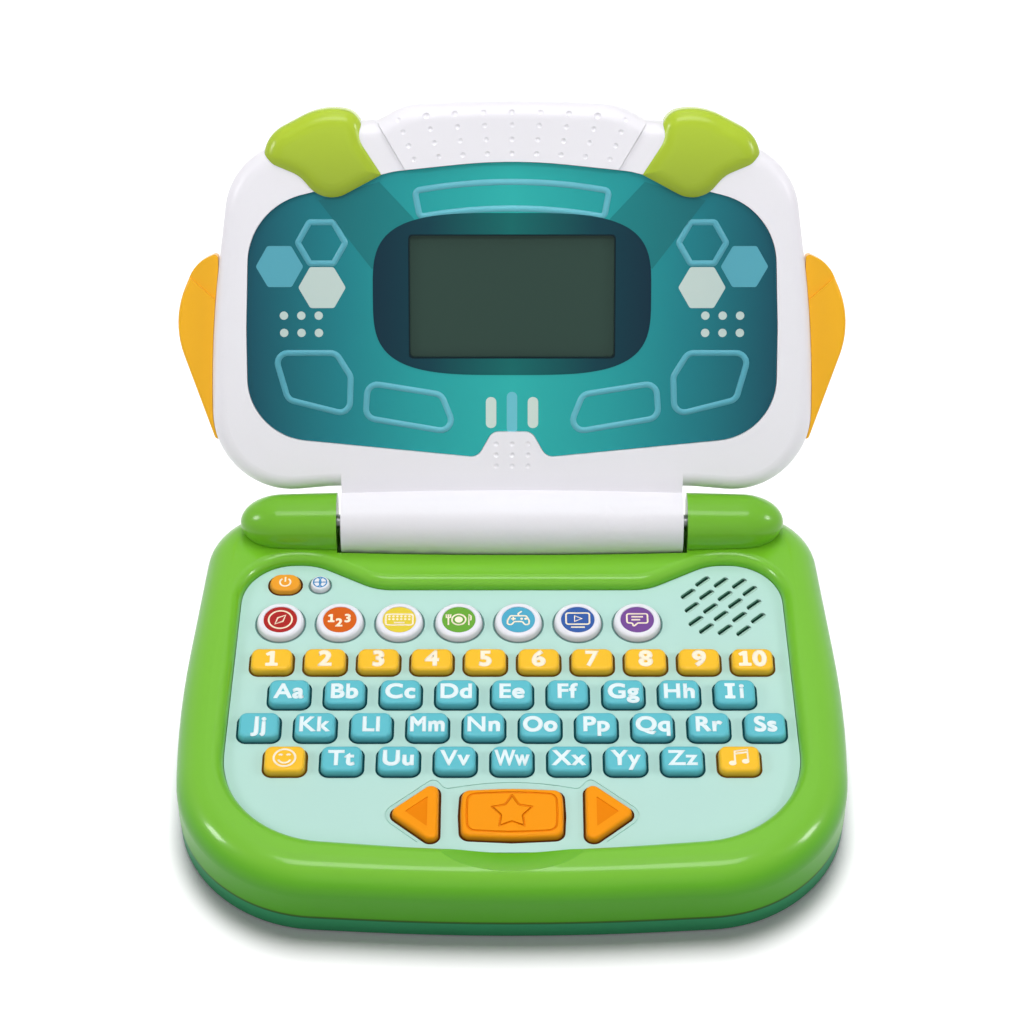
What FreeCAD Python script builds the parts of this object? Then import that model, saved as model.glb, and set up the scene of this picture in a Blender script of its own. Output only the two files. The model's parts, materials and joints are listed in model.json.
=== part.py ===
import FreeCAD, Part
import math
import os

V = FreeCAD.Vector
os.makedirs("parts", exist_ok=True)

# Base housing: the outline is a control polygon with rounded corners, origin at the footprint's centre.
base_width = 245.0
base_depth = 184.0
base_height = 30.5
side_apex_y = -6.0
side_fall_front = 4.1
side_fall_rear = 7.9
side_bow_radius = 430.0
front_fall = 7.2
front_bow_radius = 900.0
front_corner_radius = 54.0
rear_corner_radius = 27.0
rim_round = 11.0
rim_inner_round = 4.2
base_wall = 2.4

# Lower shell and battery bay
seam_height = 8.0
lower_step = 0.2
lower_round = 0.8
floor_thickness = 2.4
foot_recess = 0.6
foot_band = 16.0
tongue_height = 1.8
tongue_thickness = 1.4
cell_diameter = 10.5
cell_length = 44.5
cell_count = 3
cell_pitch = 11.4
bay_y = -8.0
bay_wall = 1.6
door_ledge = 4.0
door_thickness = 1.4
hook_width = 8.0
hook_x = 16.0
hook_riser = 0.8
hook_thickness = 1.2
rib_height = 2.4
hook_reach = 1.4
contact_thickness = 0.5
contact_width = 9.0
contact_height = 9.0
contact_dimple = 1.4

# Keyboard panel
panel_drop = 4.5
panel_thickness = 2.0
panel_front_margin = 17.6
panel_front_fall = 9.0
panel_front_bow_radius = 530.0
panel_side_margin = 17.0
panel_rear_side_margin = 20.0
panel_front_radius = 40.0
lobe_from_rear = 29.0
lobe_radius = 20.0
lobe_width = 27.5
waist_width = 51.0
waist_from_rear = 41.6
waist_radius = 22.0
ledge_width = 1.8
ledge_thickness = 2.4
scoop_half_width = 28.0
scoop_reach = 12.4
scoop_depth = 4.6

# Keys
key_travel = 1.5
key_lip = 0.9
key_lip_thickness = 1.1
key_draft = 0.5
key_rise = 3.2
key_side_margin = 5.4
key_spacing = 5.3
key_row_spacing = 3.4
key_radius = 3.2
key_edge_round = 1.3
number_side_margin = 8.1
number_spacing = 4.1
number_row_spacing = 4.5
number_from_modes = 19.9
letters_from_big_keys = 24.1
mode_side_margin = 15.2
mode_to_speaker = 32.9
mode_spacing = 4.4
mode_from_rear = 58.9
mode_rise = 2.6
mode_round = 1.2
mode_ring = 2.5
mode_label_depth = 0.3
power_side_margin = 16.0
power_width = 12.0
power_depth = 9.2
globe_from_power = 13.3
globe_diameter = 7.7
small_button_from_rear = 39.4
small_button_rise = 2.0
small_button_round = 0.8
star_width = 37.4
star_depth = 23.0
star_bow = 1.0
star_corner_radius = 3.6
star_panel_margin = 2.0
big_key_from_front = 33.9
big_key_rise = 2.5
star_point_radius = 8.5
star_waist_radius = 4.6
groove_width = 0.9
groove_depth = 0.8
arrow_from_star = 7.3
arrow_length = 18.6
arrow_height = 31.5
arrow_behind_star = 0.4
arrow_radius = 3.0
arrow_margin = 4.2
cluster_gap = 2.4
cluster_turn = 2.0
cluster_round = 2.5
cluster_dip = 1.0
cluster_arch = 5.6
cluster_line_width = 0.6
cluster_line_depth = 0.35

# Speaker and its slots
speaker_side_margin = 22.4
speaker_from_rear = 49.8
speaker_radius = 16.6
speaker_height = 11.0
magnet_radius = 9.0
slot_length = 7.0
slot_width = 2.5
slot_angle = 42.0
slot_pitch_x = 7.0
slot_pitch_y = 6.9
slot_skew = 1.2
slot_slope = 0.55
slot_aisle = 3.8
slot_rows = ((0, 1, 2), (-1, 0, 1), (-1, 0), (-1,))

# Circuit board and dome mat
board_thickness = 1.4
board_margin = 5.0
mat_thickness = 0.8
dome_radius = 3.0
dome_height = 1.2
post_radius = 3.0

# Hinge
hinge_from_rear = 14.5
hinge_above_rim = 4.5
open_angle = 125.0
barrel_half = 65.5
barrel_mid_radius = 13.1
barrel_end_radius = 12.0
knuckle_gap = 1.7
knuckle_radius = 11.4
knuckle_nose_radius = 10.8
knuckle_straight = 20.8
knuckle_nose = 16.5
pin_radius = 2.5
pin_in_barrel = 9.0
pin_in_knuckle = 24.0
barrel_core_radius = 9.5

# Lid, laid flat: x across, y out from the hinge axis, z towards the screen side
lid_half = 114.7
lid_length = 160.7
lid_bottom = 13.6
lid_neck_x = 69.0
lid_bottom_dip = 4.0
lid_foot_radius = 30.0
lid_apex_y = 72.0
lid_side_fall_foot = 0.4
lid_side_fall_top = 8.7
lid_side_radius = 420.0
lid_shoulder_drop = 21.7
lid_shoulder_radius = 28.0
lid_top_drop = 7.1
lid_top_bow_radius = 600.0
lid_top_from_side = 53.3
lid_top_radius = 60.0
lid_face = 2.3
lid_split = -6.0
lid_back = -15.7
lid_wall = 2.2
lid_front_wall = 2.7
lid_front_round = 6.0
lid_back_round = 7.0

# Handle grip
grip_foot_from_cap = 29.3
grip_top_from_cap = 18.6
grip_root_radius = 3.0
grip_end_from_cap = 29.5
grip_end_drop = 2.0
grip_end_radius = 26.0
grip_proud = 0.8
grip_seat = -0.4
dimple_columns = 9
dimple_rows = 4
dimple_first_drop = 18.9
dimple_row_pitch = 5.3
dimple_side_margin = 3.3
dimple_pitch_gain = 0.5
dimple_row_sag = 0.0016
dimple_ball = 1.6
dimple_depth = 0.36

# Screen overlay and LCD
overlay_side_margin = 13.9
overlay_top_drop = 22.3
overlay_top_fall = 4.6
overlay_top_radius = 200.0
overlay_side_y = 76.0
overlay_side_fall = 1.6
overlay_corner_drop = 39.7
overlay_corner_radius = 27.0
overlay_arch_from_side = 70.3
overlay_arch_radius = 25.0
overlay_foot_y = 25.8
overlay_foot_rise = 8.6
overlay_foot_radius = 24.0
tab_half_top = 7.6
tab_half_foot = 13.2
tab_y = 35.8
tab_radius = 4.5
tab_dimple_pitch_x = 6.1
tab_dimple_pitch_y = 4.3
tab_dimple_y = 26.7
overlay_depth = 1.0
overlay_thickness = 1.6
overlay_ledge = 3.0
overlay_ledge_thickness = 2.0
window_width = 78.6
window_height = 47.4
window_above_middle = 5.4
window_radius = 1.5
glass_margin = 5.0
glass_thickness = 2.8
lcd_board_margin = 7.0
lcd_board_thickness = 1.6

# Corner caps and side wings; the cap's control points are measured from its middle
cap_shape = (
    (-22.9, -7.9, 1.6), (1.4, -20.9, 13.0), (11.7, -9.0, 10.0), (24.6, -3.6, 6.0),
    (22.6, 7.6, 13.0), (2.0, 18.4, 25.0), (-11.6, 16.2, 8.0), (-14.4, 5.2, 10.0),
)
cap_proud = 1.8
cap_back = -12.0
cap_round = 2.4
cap_roll_width = 7.0
cap_roll_height = 5.0
cap_roll_steps = 4
peg_radius = 2.2
peg_drop = 2.0
peg_length = 3.8
cap_from_side = 45.3
cap_below_top = 12.6
wing_reach = 15.4
wing_widest_y = 77.5
wing_widest_radius = 36.0
wing_shoulder_reach = 5.8
wing_shoulder_y = 99.7
wing_shoulder_radius = 14.0
wing_top_y = 103.6
wing_foot_y = 24.9
wing_root = 3.0
wing_root_radius = 1.4
wing_crease_y = 81.6
wing_front = -3.6
wing_back = -11.6
wing_round = 1.2
wing_step = 0.8
wing_tab_half = 18.0
wing_tab_y = 68.0
wing_tab_depth = 6.0
wing_tab_thickness = 3.0

# Screws
screw_inset = 3.4
screw_shank_radius = 1.4
screw_head_radius = 2.8
screw_head_height = 2.0
screw_boss_radius = 3.8
screw_length = 9.0
cross_width = 0.8
cross_depth = 0.9

# Clearances
seat_gap = 0.05
fit_gap = 0.15
panel_gap = 0.2
key_gap = 0.4
lip_gap = 0.25
stop_gap = 0.3
hinge_gap = 0.8
pin_running_gap = 0.05
pin_fixed_gap = 0.02
thread_gap = 0.03
screw_hole_gap = 0.3

# Places worked out from the sizes above
front_y = -base_depth / 2
rear_y = base_depth / 2
hinge_y = rear_y - hinge_from_rear
hinge_height = base_height + hinge_above_rim
panel_height = base_height - panel_drop
panel_half_front = base_width / 2 - panel_side_margin
panel_half_rear = base_width / 2 - panel_rear_side_margin
panel_under = panel_height - panel_thickness
lip_top = panel_under - lip_gap
lip_bottom = lip_top - key_lip_thickness
dome_top = lip_bottom - key_travel - stop_gap
mat_bottom = dome_top - dome_height - mat_thickness
board_bottom = mat_bottom - seat_gap - board_thickness
floor_top = foot_recess + floor_thickness
door_top = foot_recess + door_thickness
cell_z = door_top + fit_gap + cell_diameter / 2
bay_half_x = cell_length / 2 + contact_dimple + contact_thickness + 2 * seat_gap
bay_half_y = (cell_count - 1) / 2 * cell_pitch + cell_diameter / 2 + fit_gap
bay_front = bay_y - bay_half_y
bay_rear = bay_y + bay_half_y
bay_height = cell_z + cell_diameter / 2
base_screw_seat = seam_height - screw_inset
base_screw_tip = base_screw_seat + screw_length
cup_radius = screw_head_radius + screw_hole_gap + bay_wall
cup_seat = foot_recess + screw_head_height + screw_hole_gap
cup_top = cup_seat + bay_wall
tower_radius = cup_radius + fit_gap + bay_wall
door_screw_y = bay_rear + bay_wall + tower_radius
door_screw_tip = cup_seat + screw_length
knuckle_start = barrel_half + knuckle_gap
grip_face = lid_face + grip_proud
cap_face = lid_face + cap_proud
overlay_face = lid_face - overlay_depth
overlay_back = overlay_face - overlay_thickness
glass_front = overlay_back - seat_gap
glass_back = glass_front - glass_thickness
lcd_board_front = glass_back - seat_gap
lcd_board_back = lcd_board_front - lcd_board_thickness
lid_screw_seat = lid_back + screw_inset
lid_screw_tip = lid_screw_seat + screw_length
lid_shoulder_y = lid_length - lid_shoulder_drop
lid_top_y = lid_length - lid_top_drop
lid_top_x = lid_half - lid_top_from_side
overlay_half = lid_half - overlay_side_margin
overlay_top_y = lid_length - overlay_top_drop
overlay_corner_y = lid_length - overlay_corner_drop
overlay_arch_x = lid_half - overlay_arch_from_side
window_y = (overlay_foot_y + overlay_top_y) / 2 + window_above_middle
cap_x = lid_half - cap_from_side
cap_y = lid_top_y - cap_below_top
peg_y = cap_y - peg_drop
grip_foot_x = cap_x - grip_foot_from_cap
grip_top_x = cap_x - grip_top_from_cap
grip_end_x = cap_x - grip_end_from_cap
dimple_first_y = lid_length - dimple_first_drop
dimple_first_pitch = 2 * (grip_foot_x - dimple_side_margin) / (dimple_columns - 1)
number_names = ["number_keys"] * 10
letter_rows = [["key_" + letter for letter in row] for row in ("abcdefghi", "jklmnopqrs", "tuvwxyz")]
letter_rows[-1] = ["smile_key"] + letter_rows[-1] + ["music_key"]
mode_names = ["travel", "count", "type", "food", "game", "show", "talk"]
most_keys = max(len(row) for row in letter_rows)
key_pitch = (2 * (panel_half_front - key_side_margin) + key_spacing) / most_keys
key_width = key_pitch - key_spacing
number_pitch = (2 * (panel_half_front - number_side_margin) + number_spacing) / len(number_names)
number_width = number_pitch - number_spacing
big_key_y = front_y + big_key_from_front
mode_row_y = rear_y - mode_from_rear
number_row_y = mode_row_y - number_from_modes
row_pitch = (number_row_y - big_key_y - letters_from_big_keys) / len(letter_rows)
key_depth = row_pitch - key_row_spacing
number_depth = row_pitch - number_row_spacing
speaker_x = panel_half_rear - speaker_side_margin
speaker_y = rear_y - speaker_from_rear
mode_first_x = mode_side_margin - panel_half_rear
mode_pitch = (speaker_x - mode_to_speaker - mode_first_x) / (len(mode_names) - 1)
mode_diameter = mode_pitch - mode_spacing
power_x = power_side_margin - panel_half_rear
globe_x = power_x + globe_from_power
small_button_y = rear_y - small_button_from_rear
arrow_inner_x = star_width / 2 + arrow_from_star
arrow_y = big_key_y + arrow_behind_star
base_screw_places = [(s * x, y) for s in (-1, 1) for x, y in (
    (base_width / 2 - 10.2, rear_y - 58.0), (base_width / 2 - 9.4, front_y + 66.0), (46.0, front_y + 10.2))]
lid_screw_places = [(s * x, y) for s in (-1, 1) for x, y in (
    (lid_half - 7.6, 40.0), (lid_half - 8.8, 99.0), (42.0, (lid_bottom + overlay_foot_y) / 2 + 2.0))]
board_posts = [(s * (panel_half_front - x), y) for s in (-1, 1) for x, y in (
    (17.5, front_y + 60.0), (45.5, front_y + 34.0), (49.5, rear_y - 56.0), (15.5, rear_y - 88.0))]
lcd_posts = [(s * (window_width / 2 + glass_margin), window_y + t * (window_height / 2 + glass_margin))
             for s in (-1, 1) for t in (-1, 1)]


def both_sides(half):
    """Full outline from its right half, given from the bottom middle to the top middle."""
    return half + [(-x, y, r) for x, y, r in reversed(half) if x > 0]


def inset(points, d):
    """Control points of an outline moved inwards by d, or outwards where d is negative."""
    moved = []
    for i, (x, y, r) in enumerate(points):
        xa, ya, _ = points[i - 1]
        xc, yc, _ = points[(i + 1) % len(points)]
        u = V(x - xa, y - ya, 0).normalize()
        v = V(xc - x, yc - y, 0).normalize()
        turn = u.x * v.y - u.y * v.x
        shift = (v - u) * (d / turn)
        moved.append((x + shift.x, y + shift.y, max(r - d if turn > 0 else r + d, 0.2)))
    return moved


def outline(points, z=0.0):
    """Closed wire through control points (x, y, corner radius); radii ease where two corners would meet."""
    corners = [V(x, y, z) for x, y, _ in points]
    count = len(points)
    ahead = [corners[(i + 1) % count] - corners[i] for i in range(count)]
    turns = [ahead[i - 1].getAngle(ahead[i]) / 2 for i in range(count)]
    reach = [points[i][2] * math.tan(turns[i]) for i in range(count)]
    ease = [min(1.0, ahead[i].Length / (reach[i] + reach[(i + 1) % count])) for i in range(count)]
    edges = []
    ends = []
    for i in range(count):
        fit = min(ease[i - 1], ease[i])
        u = V(ahead[i - 1]).normalize()
        v = V(ahead[i]).normalize()
        middle = corners[i] + (v - u).normalize() * (points[i][2] * fit * (1 / math.cos(turns[i]) - 1))
        ends.append((corners[i] - u * (reach[i] * fit), middle, corners[i] + v * (reach[i] * fit)))
    for i, (start, middle, end) in enumerate(ends):
        before = ends[i - 1][2]
        if before.distanceToPoint(start) > 1e-6:
            edges.append(Part.LineSegment(before, start).toShape())
        edges.append(Part.Arc(start, middle, end).toShape())
    return Part.Wire(edges)


def prism(points, z0, z1):
    return Part.Face(outline(points, z0)).extrude(V(0, 0, z1 - z0))


def apex(reach, fall_a, run_a, fall_b, run_b, radius):
    """Control point beyond a bow, so that an arc of this radius just comes to reach."""
    a = math.atan2(fall_a, run_a)
    b = math.atan2(fall_b, run_b)
    return reach + radius * (math.cos((a - b) / 2) / math.cos((a + b) / 2) - 1)


def rectangle(x, y, width, depth, radius):
    w = width / 2
    d = depth / 2
    return [(x - w, y - d, radius), (x + w, y - d, radius), (x + w, y + d, radius), (x - w, y + d, radius)]


def circle(x, y, diameter):
    return rectangle(x, y, diameter, diameter, diameter / 2)


def box(x0, x1, y0, y1, z0, z1):
    return Part.makeBox(x1 - x0, y1 - y0, z1 - z0, V(x0, y0, z0))


def column(x, y, radius, z0, z1):
    return Part.makeCylinder(radius, z1 - z0, V(x, y, z0))


def rod(radius, x0, x1, y=0.0, z=0.0):
    return Part.makeCylinder(radius, abs(x1 - x0), V(min(x0, x1), y, z), V(1, 0, 0))


def edges_at(shape, z):
    return [e for e in shape.Edges if abs(e.BoundBox.ZMin - z) < 1e-4 and abs(e.BoundBox.ZMax - z) < 1e-4]


def rounded(shape, z, radius):
    return shape.makeFillet(radius, edges_at(shape, z))


def top_face(shape, z):
    flat = [f for f in shape.Faces if abs(f.BoundBox.ZMin - z) < 1e-4 and f.BoundBox.ZLength < 1e-4]
    return max(flat, key=lambda f: f.Area)


def base_outline():
    side = apex(base_width / 2, side_fall_front, side_apex_y - front_y,
                side_fall_rear, rear_y - side_apex_y, side_bow_radius)
    corner_x = side - side_fall_front
    nose = apex(-front_y, front_fall, corner_x, front_fall, corner_x, front_bow_radius)
    return both_sides([
        (0, -nose, front_bow_radius),
        (corner_x, front_fall - nose, front_corner_radius),
        (side, side_apex_y, side_bow_radius),
        (side - side_fall_rear, rear_y, rear_corner_radius),
    ])


def panel_outline():
    nose = apex(-front_y - panel_front_margin, panel_front_fall, panel_half_front, panel_front_fall,
                panel_half_front, panel_front_bow_radius)
    return both_sides([
        (0, -nose, panel_front_bow_radius),
        (panel_half_front, panel_front_fall - nose, panel_front_radius),
        (panel_half_rear, rear_y - lobe_from_rear, lobe_radius),
        (panel_half_rear - lobe_width, rear_y - lobe_from_rear, waist_radius),
        (panel_half_rear - waist_width, rear_y - waist_from_rear, waist_radius),
    ])


def scoop(grow):
    """Ball whose skin is the finger scoop in the front rim, larger by grow."""
    rim_edge = front_y + panel_front_margin
    span = (scoop_half_width ** 2 + scoop_reach ** 2) / (2 * scoop_reach)
    near = span - scoop_reach
    rise = (span ** 2 - near ** 2 - scoop_depth ** 2) / (2 * scoop_depth)
    centre = V(0, rim_edge - scoop_reach + span, base_height + rise)
    return Part.makeSphere(math.hypot(span, rise) + grow, centre)


def knuckle(side):
    x1 = knuckle_start + knuckle_straight
    nose = Part.ArcOfEllipse(Part.Ellipse(V(x1, 0, 0), knuckle_nose, knuckle_nose_radius), 0, math.pi / 2)
    sides = Part.makePolygon([V(x1 + knuckle_nose, 0, 0), V(knuckle_start, 0, 0),
                              V(knuckle_start, knuckle_radius, 0), V(x1, knuckle_nose_radius, 0)])
    profile = Part.Face(Part.Wire(Part.__sortEdges__(sides.Edges + [nose.toShape()])))
    body = profile.revolve(V(0, 0, 0), V(1, 0, 0), 360)
    if side < 0:
        body = body.mirror(V(0, 0, 0), V(1, 0, 0))
    body.translate(V(0, hinge_y, hinge_height))
    return body


def barrel(grow, half):
    """Cigar-shaped middle of the hinge, round the x axis."""
    end = barrel_end_radius + grow
    bow = Part.Arc(V(-half, end, 0), V(0, barrel_mid_radius + grow, 0), V(half, end, 0)).toShape()
    sides = Part.makePolygon([V(half, end, 0), V(half, 0, 0), V(-half, 0, 0), V(-half, end, 0)])
    return Part.Face(Part.Wire([bow] + sides.Edges)).revolve(V(0, 0, 0), V(1, 0, 0), 360)


def base_upper_shell(plan):
    rim = base_outline()
    panel = panel_outline()
    body = prism(rim, seam_height, base_height).cut(prism(panel, panel_under, base_height + 1))
    body = body.makeFillet(rim_round, top_face(body, base_height).OuterWire.Edges)
    crest = top_face(body, base_height)
    inner = [e for w in crest.Wires if not w.isSame(crest.OuterWire) for e in w.Edges]
    body = body.makeFillet(rim_inner_round, inner)
    opening = prism(inset(panel, ledge_width), seam_height - 1, base_height)
    body = body.cut([base_hollow(rim, panel), opening, scoop(0)])
    body = body.fuse([knuckle(-1), knuckle(1)])
    trough = barrel(hinge_gap, knuckle_start)
    trough.translate(V(0, hinge_y, hinge_height))
    lip_room = key_lip + key_gap
    cuts = [prism(inset(points, -lip_room), seam_height, panel_under) for _, points, _, _, _ in plan]
    cuts.append(trough)
    for side in (-1, 1):
        cuts.append(rod(pin_radius + pin_fixed_gap, side * (knuckle_start - 1),
                        side * (knuckle_start + pin_in_knuckle + fit_gap), hinge_y, hinge_height))
    for x, y in base_screw_places:
        cuts.append(column(x, y, screw_shank_radius + thread_gap, 0, base_screw_tip + fit_gap))
    return body.cut(cuts)


def base_hollow(rim, panel):
    """Space inside the rim, leaving its wall, the panel's seat, the hinge trough and the screw bosses."""
    roof = base_height - base_wall
    space = rounded(prism(inset(rim, base_wall), seam_height - 1, roof), roof, rim_round - base_wall)
    kept = [
        prism(inset(panel, -base_wall), panel_under - ledge_thickness, base_height),
        scoop(base_wall),
        rod(barrel_mid_radius + hinge_gap + base_wall, -knuckle_start - base_wall,
            knuckle_start + base_wall, hinge_y, hinge_height),
    ]
    kept += [column(x, y, screw_boss_radius, 0, base_height) for x, y in base_screw_places]
    return space.cut(kept)


def base_lower_shell():
    rim = inset(base_outline(), lower_step)
    body = prism(rim, 0, seam_height - seat_gap)
    body = rounded(body, 0, lower_round)
    lip = inset(base_outline(), base_wall + fit_gap)
    body = body.fuse(prism(lip, floor_top, seam_height + tongue_height))
    body = body.cut([prism(inset(lip, tongue_thickness), floor_top, seam_height + tongue_height + 1),
                     prism(inset(rim, foot_band), -1, foot_recess)])
    bay = box(-bay_half_x - bay_wall, bay_half_x + bay_wall, bay_front - bay_wall, bay_rear + bay_wall,
              foot_recess, bay_height)
    tower_top = door_screw_tip + fit_gap + bay_wall
    boss_top = seam_height - seat_gap
    raised = [bay, column(0, door_screw_y, tower_radius, foot_recess, tower_top)]
    raised += [column(x, y, post_radius, foot_recess, board_bottom - seat_gap) for x, y in board_posts]
    raised += [column(x, y, screw_boss_radius, foot_recess, boss_top) for x, y in base_screw_places]
    body = body.fuse(raised)
    cuts = [door_plate(fit_gap, -1, door_top + seat_gap),
            box(-bay_half_x, bay_half_x, bay_front, bay_rear, -1, bay_height + 1),
            column(0, door_screw_y, cup_radius + fit_gap, -1, cup_top + seat_gap),
            column(0, door_screw_y, screw_shank_radius + thread_gap, 0, door_screw_tip + fit_gap)]
    for x, y in base_screw_places:
        cuts.append(column(x, y, screw_head_radius + screw_hole_gap, -1, base_screw_seat))
        cuts.append(column(x, y, screw_shank_radius + screw_hole_gap, 0, seam_height + 1))
    slot_half = hook_width / 2 + fit_gap
    for x in (-hook_x, hook_x):
        cuts.append(box(x - slot_half, x + slot_half, bay_front - bay_wall - 1, bay_front + 1,
                        floor_top, floor_top + hook_thickness + 3 * fit_gap))
    return body.cut(cuts)


def door_plate(grow, z0, z1):
    half_x = bay_half_x + door_ledge
    half_y = bay_half_y + door_ledge
    plate = prism(inset(rectangle(0, bay_y, 2 * half_x, 2 * half_y, 3.0), -grow), z0, z1)
    ear_end = door_screw_y + cup_radius
    ear = rectangle(0, (bay_y + ear_end) / 2, 2 * cup_radius, ear_end - bay_y, cup_radius / 2)
    return plate.fuse(prism(inset(ear, -grow), z0, z1))


def battery_door():
    body = door_plate(0, foot_recess, door_top)
    added = [column(0, door_screw_y, cup_radius, foot_recess, cup_top)]
    front = bay_front + fit_gap
    back = front + hook_riser
    hook_z = floor_top + fit_gap
    hook_top = hook_z + hook_thickness
    for x in (-hook_x, hook_x):
        x0 = x - hook_width / 2
        x1 = x + hook_width / 2
        added.append(box(x0, x1, front, back, foot_recess, hook_top))
        added.append(box(x0, x1, bay_front - hook_reach, back, hook_z, hook_top))
    for i in range(1, cell_count):
        y = bay_y + (i - cell_count / 2) * cell_pitch
        added.append(box(-cell_length / 3, cell_length / 3, y - bay_wall / 2, y + bay_wall / 2, foot_recess,
                         door_top + rib_height))
    body = body.fuse(added)
    return body.cut([column(0, door_screw_y, screw_head_radius + screw_hole_gap, 0, cup_seat),
                     column(0, door_screw_y, screw_shank_radius + screw_hole_gap, 0, cup_top + 1)])


def cell_places():
    return [bay_y + (i - (cell_count - 1) / 2) * cell_pitch for i in range(cell_count)]


def battery_cells():
    cells = []
    for i, y in enumerate(cell_places()):
        nub = cell_length / 2
        can = rod(cell_diameter / 2, -nub, nub - 1.2, y, cell_z)
        cell = can.fuse(rod(cell_diameter / 5, 0, nub, y, cell_z))
        if i % 2:
            cell = cell.mirror(V(0, 0, 0), V(1, 0, 0))
        cells.append(cell)
    return cells


def battery_contacts():
    pieces = []
    for y in cell_places():
        for side in (-1, 1):
            outer = side * (bay_half_x - seat_gap)
            inner = outer - side * contact_thickness
            plate = box(min(outer, inner), max(outer, inner), y - contact_width / 2, y + contact_width / 2,
                        cell_z - contact_height / 2, cell_z + contact_height / 2)
            bump = Part.makeCone(contact_width / 3, contact_width / 6, contact_dimple, V(inner, y, cell_z),
                                 V(-side, 0, 0))
            pieces.append(plate.fuse(bump))
    return pieces


def screw(x, y, seat):
    """Pan-head screw, driven upwards, with its head under the seat."""
    head = column(x, y, screw_head_radius, seat - screw_head_height, seat)
    under = seat - screw_head_height
    head = rounded(head, under, screw_head_height / 3)
    shank = column(x, y, screw_shank_radius, seat - 0.5, seat + screw_length)
    a = screw_head_radius * 0.6
    b = cross_width / 2
    cross = [box(x - u, x + u, y - v, y + v, under - 1, under + cross_depth) for u, v in ((a, b), (b, a))]
    return head.fuse(shank).cut(cross)


def base_screws():
    return [screw(x, y, base_screw_seat) for x, y in base_screw_places] + [screw(0, door_screw_y, cup_seat)]


def keycap(points, rise, edge):
    """Key with tapered sides, a rounded top edge and a lip that holds it under the panel."""
    top = panel_height + rise
    cap = Part.makeLoft([outline(points, lip_top), outline(points, panel_height),
                         outline(inset(points, key_draft), top)], True, True)
    return rounded(cap, top, edge).fuse(prism(inset(points, -key_lip), lip_bottom, lip_top))


def groove(points, top, width, depth):
    outer = prism(points, top - depth, top + 1)
    return outer.cut(prism(inset(points, width), top - depth - 1, top + 2))


def row_places(count, pitch):
    return [(i - (count - 1) / 2) * pitch for i in range(count)]


def arrow_outline(side):
    tip = side * (arrow_inner_x + arrow_length)
    back = side * arrow_inner_x
    half = side * arrow_height / 2
    return [(back, arrow_y - half, arrow_radius), (tip, arrow_y, arrow_radius), (back, arrow_y + half, arrow_radius)]


def star_outline():
    return [(math.sin(k * math.pi / 5) * r, big_key_y + math.cos(k * math.pi / 5) * r, groove_width / 2)
            for k, r in ((k, star_waist_radius if k % 2 else star_point_radius) for k in range(10, 0, -1))]


def star_key_outline(margin):
    w = star_width / 2 - margin
    d = star_depth / 2 - margin
    r = star_corner_radius
    return both_sides([
        (0, big_key_y - d, 6 * star_depth),
        (w - star_bow / 2, big_key_y - d + star_bow, r),
        (w, big_key_y, 3 * star_depth),
        (w - star_bow / 2, big_key_y + d - star_bow, r),
        (0, big_key_y + d, 6 * star_depth),
    ])


def key_plan():
    """Each key: node, outline at the panel, rise above it, edge rounding and the places of its domes."""
    plan = []
    for name, x in zip(number_names, row_places(len(number_names), number_pitch)):
        key = rectangle(x, number_row_y, number_width, number_depth, key_radius)
        plan.append((name, key, key_rise, key_edge_round, [(x, number_row_y)]))
    for i, row in enumerate(letter_rows):
        y = number_row_y - (i + 1) * row_pitch
        for name, x in zip(row, row_places(len(row), key_pitch)):
            key = rectangle(x, y, key_width, key_depth, key_radius)
            plan.append((name, key, key_rise, key_edge_round, [(x, y)]))
    for i, name in enumerate(mode_names):
        x = mode_first_x + i * mode_pitch
        key = circle(x, mode_row_y, mode_diameter)
        plan.append((name + "_button", key, mode_rise, mode_round, [(x, mode_row_y)]))
    oval = rectangle(power_x, small_button_y, power_width, power_depth, power_depth / 2)
    plan.append(("power_button", oval, small_button_rise, small_button_round, [(power_x, small_button_y)]))
    globe = circle(globe_x, small_button_y, globe_diameter)
    plan.append(("globe_button", globe, small_button_rise, small_button_round, [(globe_x, small_button_y)]))
    for side, name in ((-1, "left_arrow_key"), (1, "right_arrow_key")):
        centre = side * (arrow_inner_x + arrow_length / 3)
        plan.append((name, arrow_outline(side), big_key_rise, key_edge_round, [(centre, arrow_y)]))
    plan.append(("star_key", star_key_outline(0), big_key_rise, key_edge_round,
                 [(-star_width / 4, big_key_y), (star_width / 4, big_key_y)]))
    return plan


def keys(plan):
    made = {}
    for name, points, rise, edge, domes in plan:
        top = panel_height + rise
        key = keycap(points, rise, edge)
        if name.split("_")[0] in mode_names:
            x, y = domes[0]
            key = key.cut(column(x, y, mode_diameter / 2 - mode_ring, top - mode_label_depth, top + 1))
        elif name.endswith("arrow_key"):
            key = key.cut(prism(inset(points, arrow_margin), top - groove_depth, top + 1))
        elif name == "star_key":
            key = key.cut([groove(points, top, groove_width, groove_depth)
                           for points in (star_key_outline(star_panel_margin), star_outline())])
        made.setdefault(name, []).append(key)
    return made


def cluster_groove():
    """Moulded line on the panel that follows the arrow keys and arches over the star key."""
    star_top = big_key_y + star_depth / 2
    low, tip, top = inset(arrow_outline(1), -cluster_gap)
    slope = (top[1] - tip[1]) / (top[0] - tip[0])
    turn_x = arrow_inner_x + cluster_turn
    line = both_sides([
        low,
        tip,
        (turn_x, tip[1] + slope * (turn_x - tip[0]), cluster_round),
        (arrow_inner_x - cluster_turn, star_top + cluster_dip, cluster_round),
        (0, star_top + cluster_arch, 4 * star_depth),
    ])
    kept = box(-base_width, base_width, big_key_y - star_depth / 2, base_depth, 0, base_height)
    return groove(line, panel_height, cluster_line_width, cluster_line_depth).common(kept)


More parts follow.
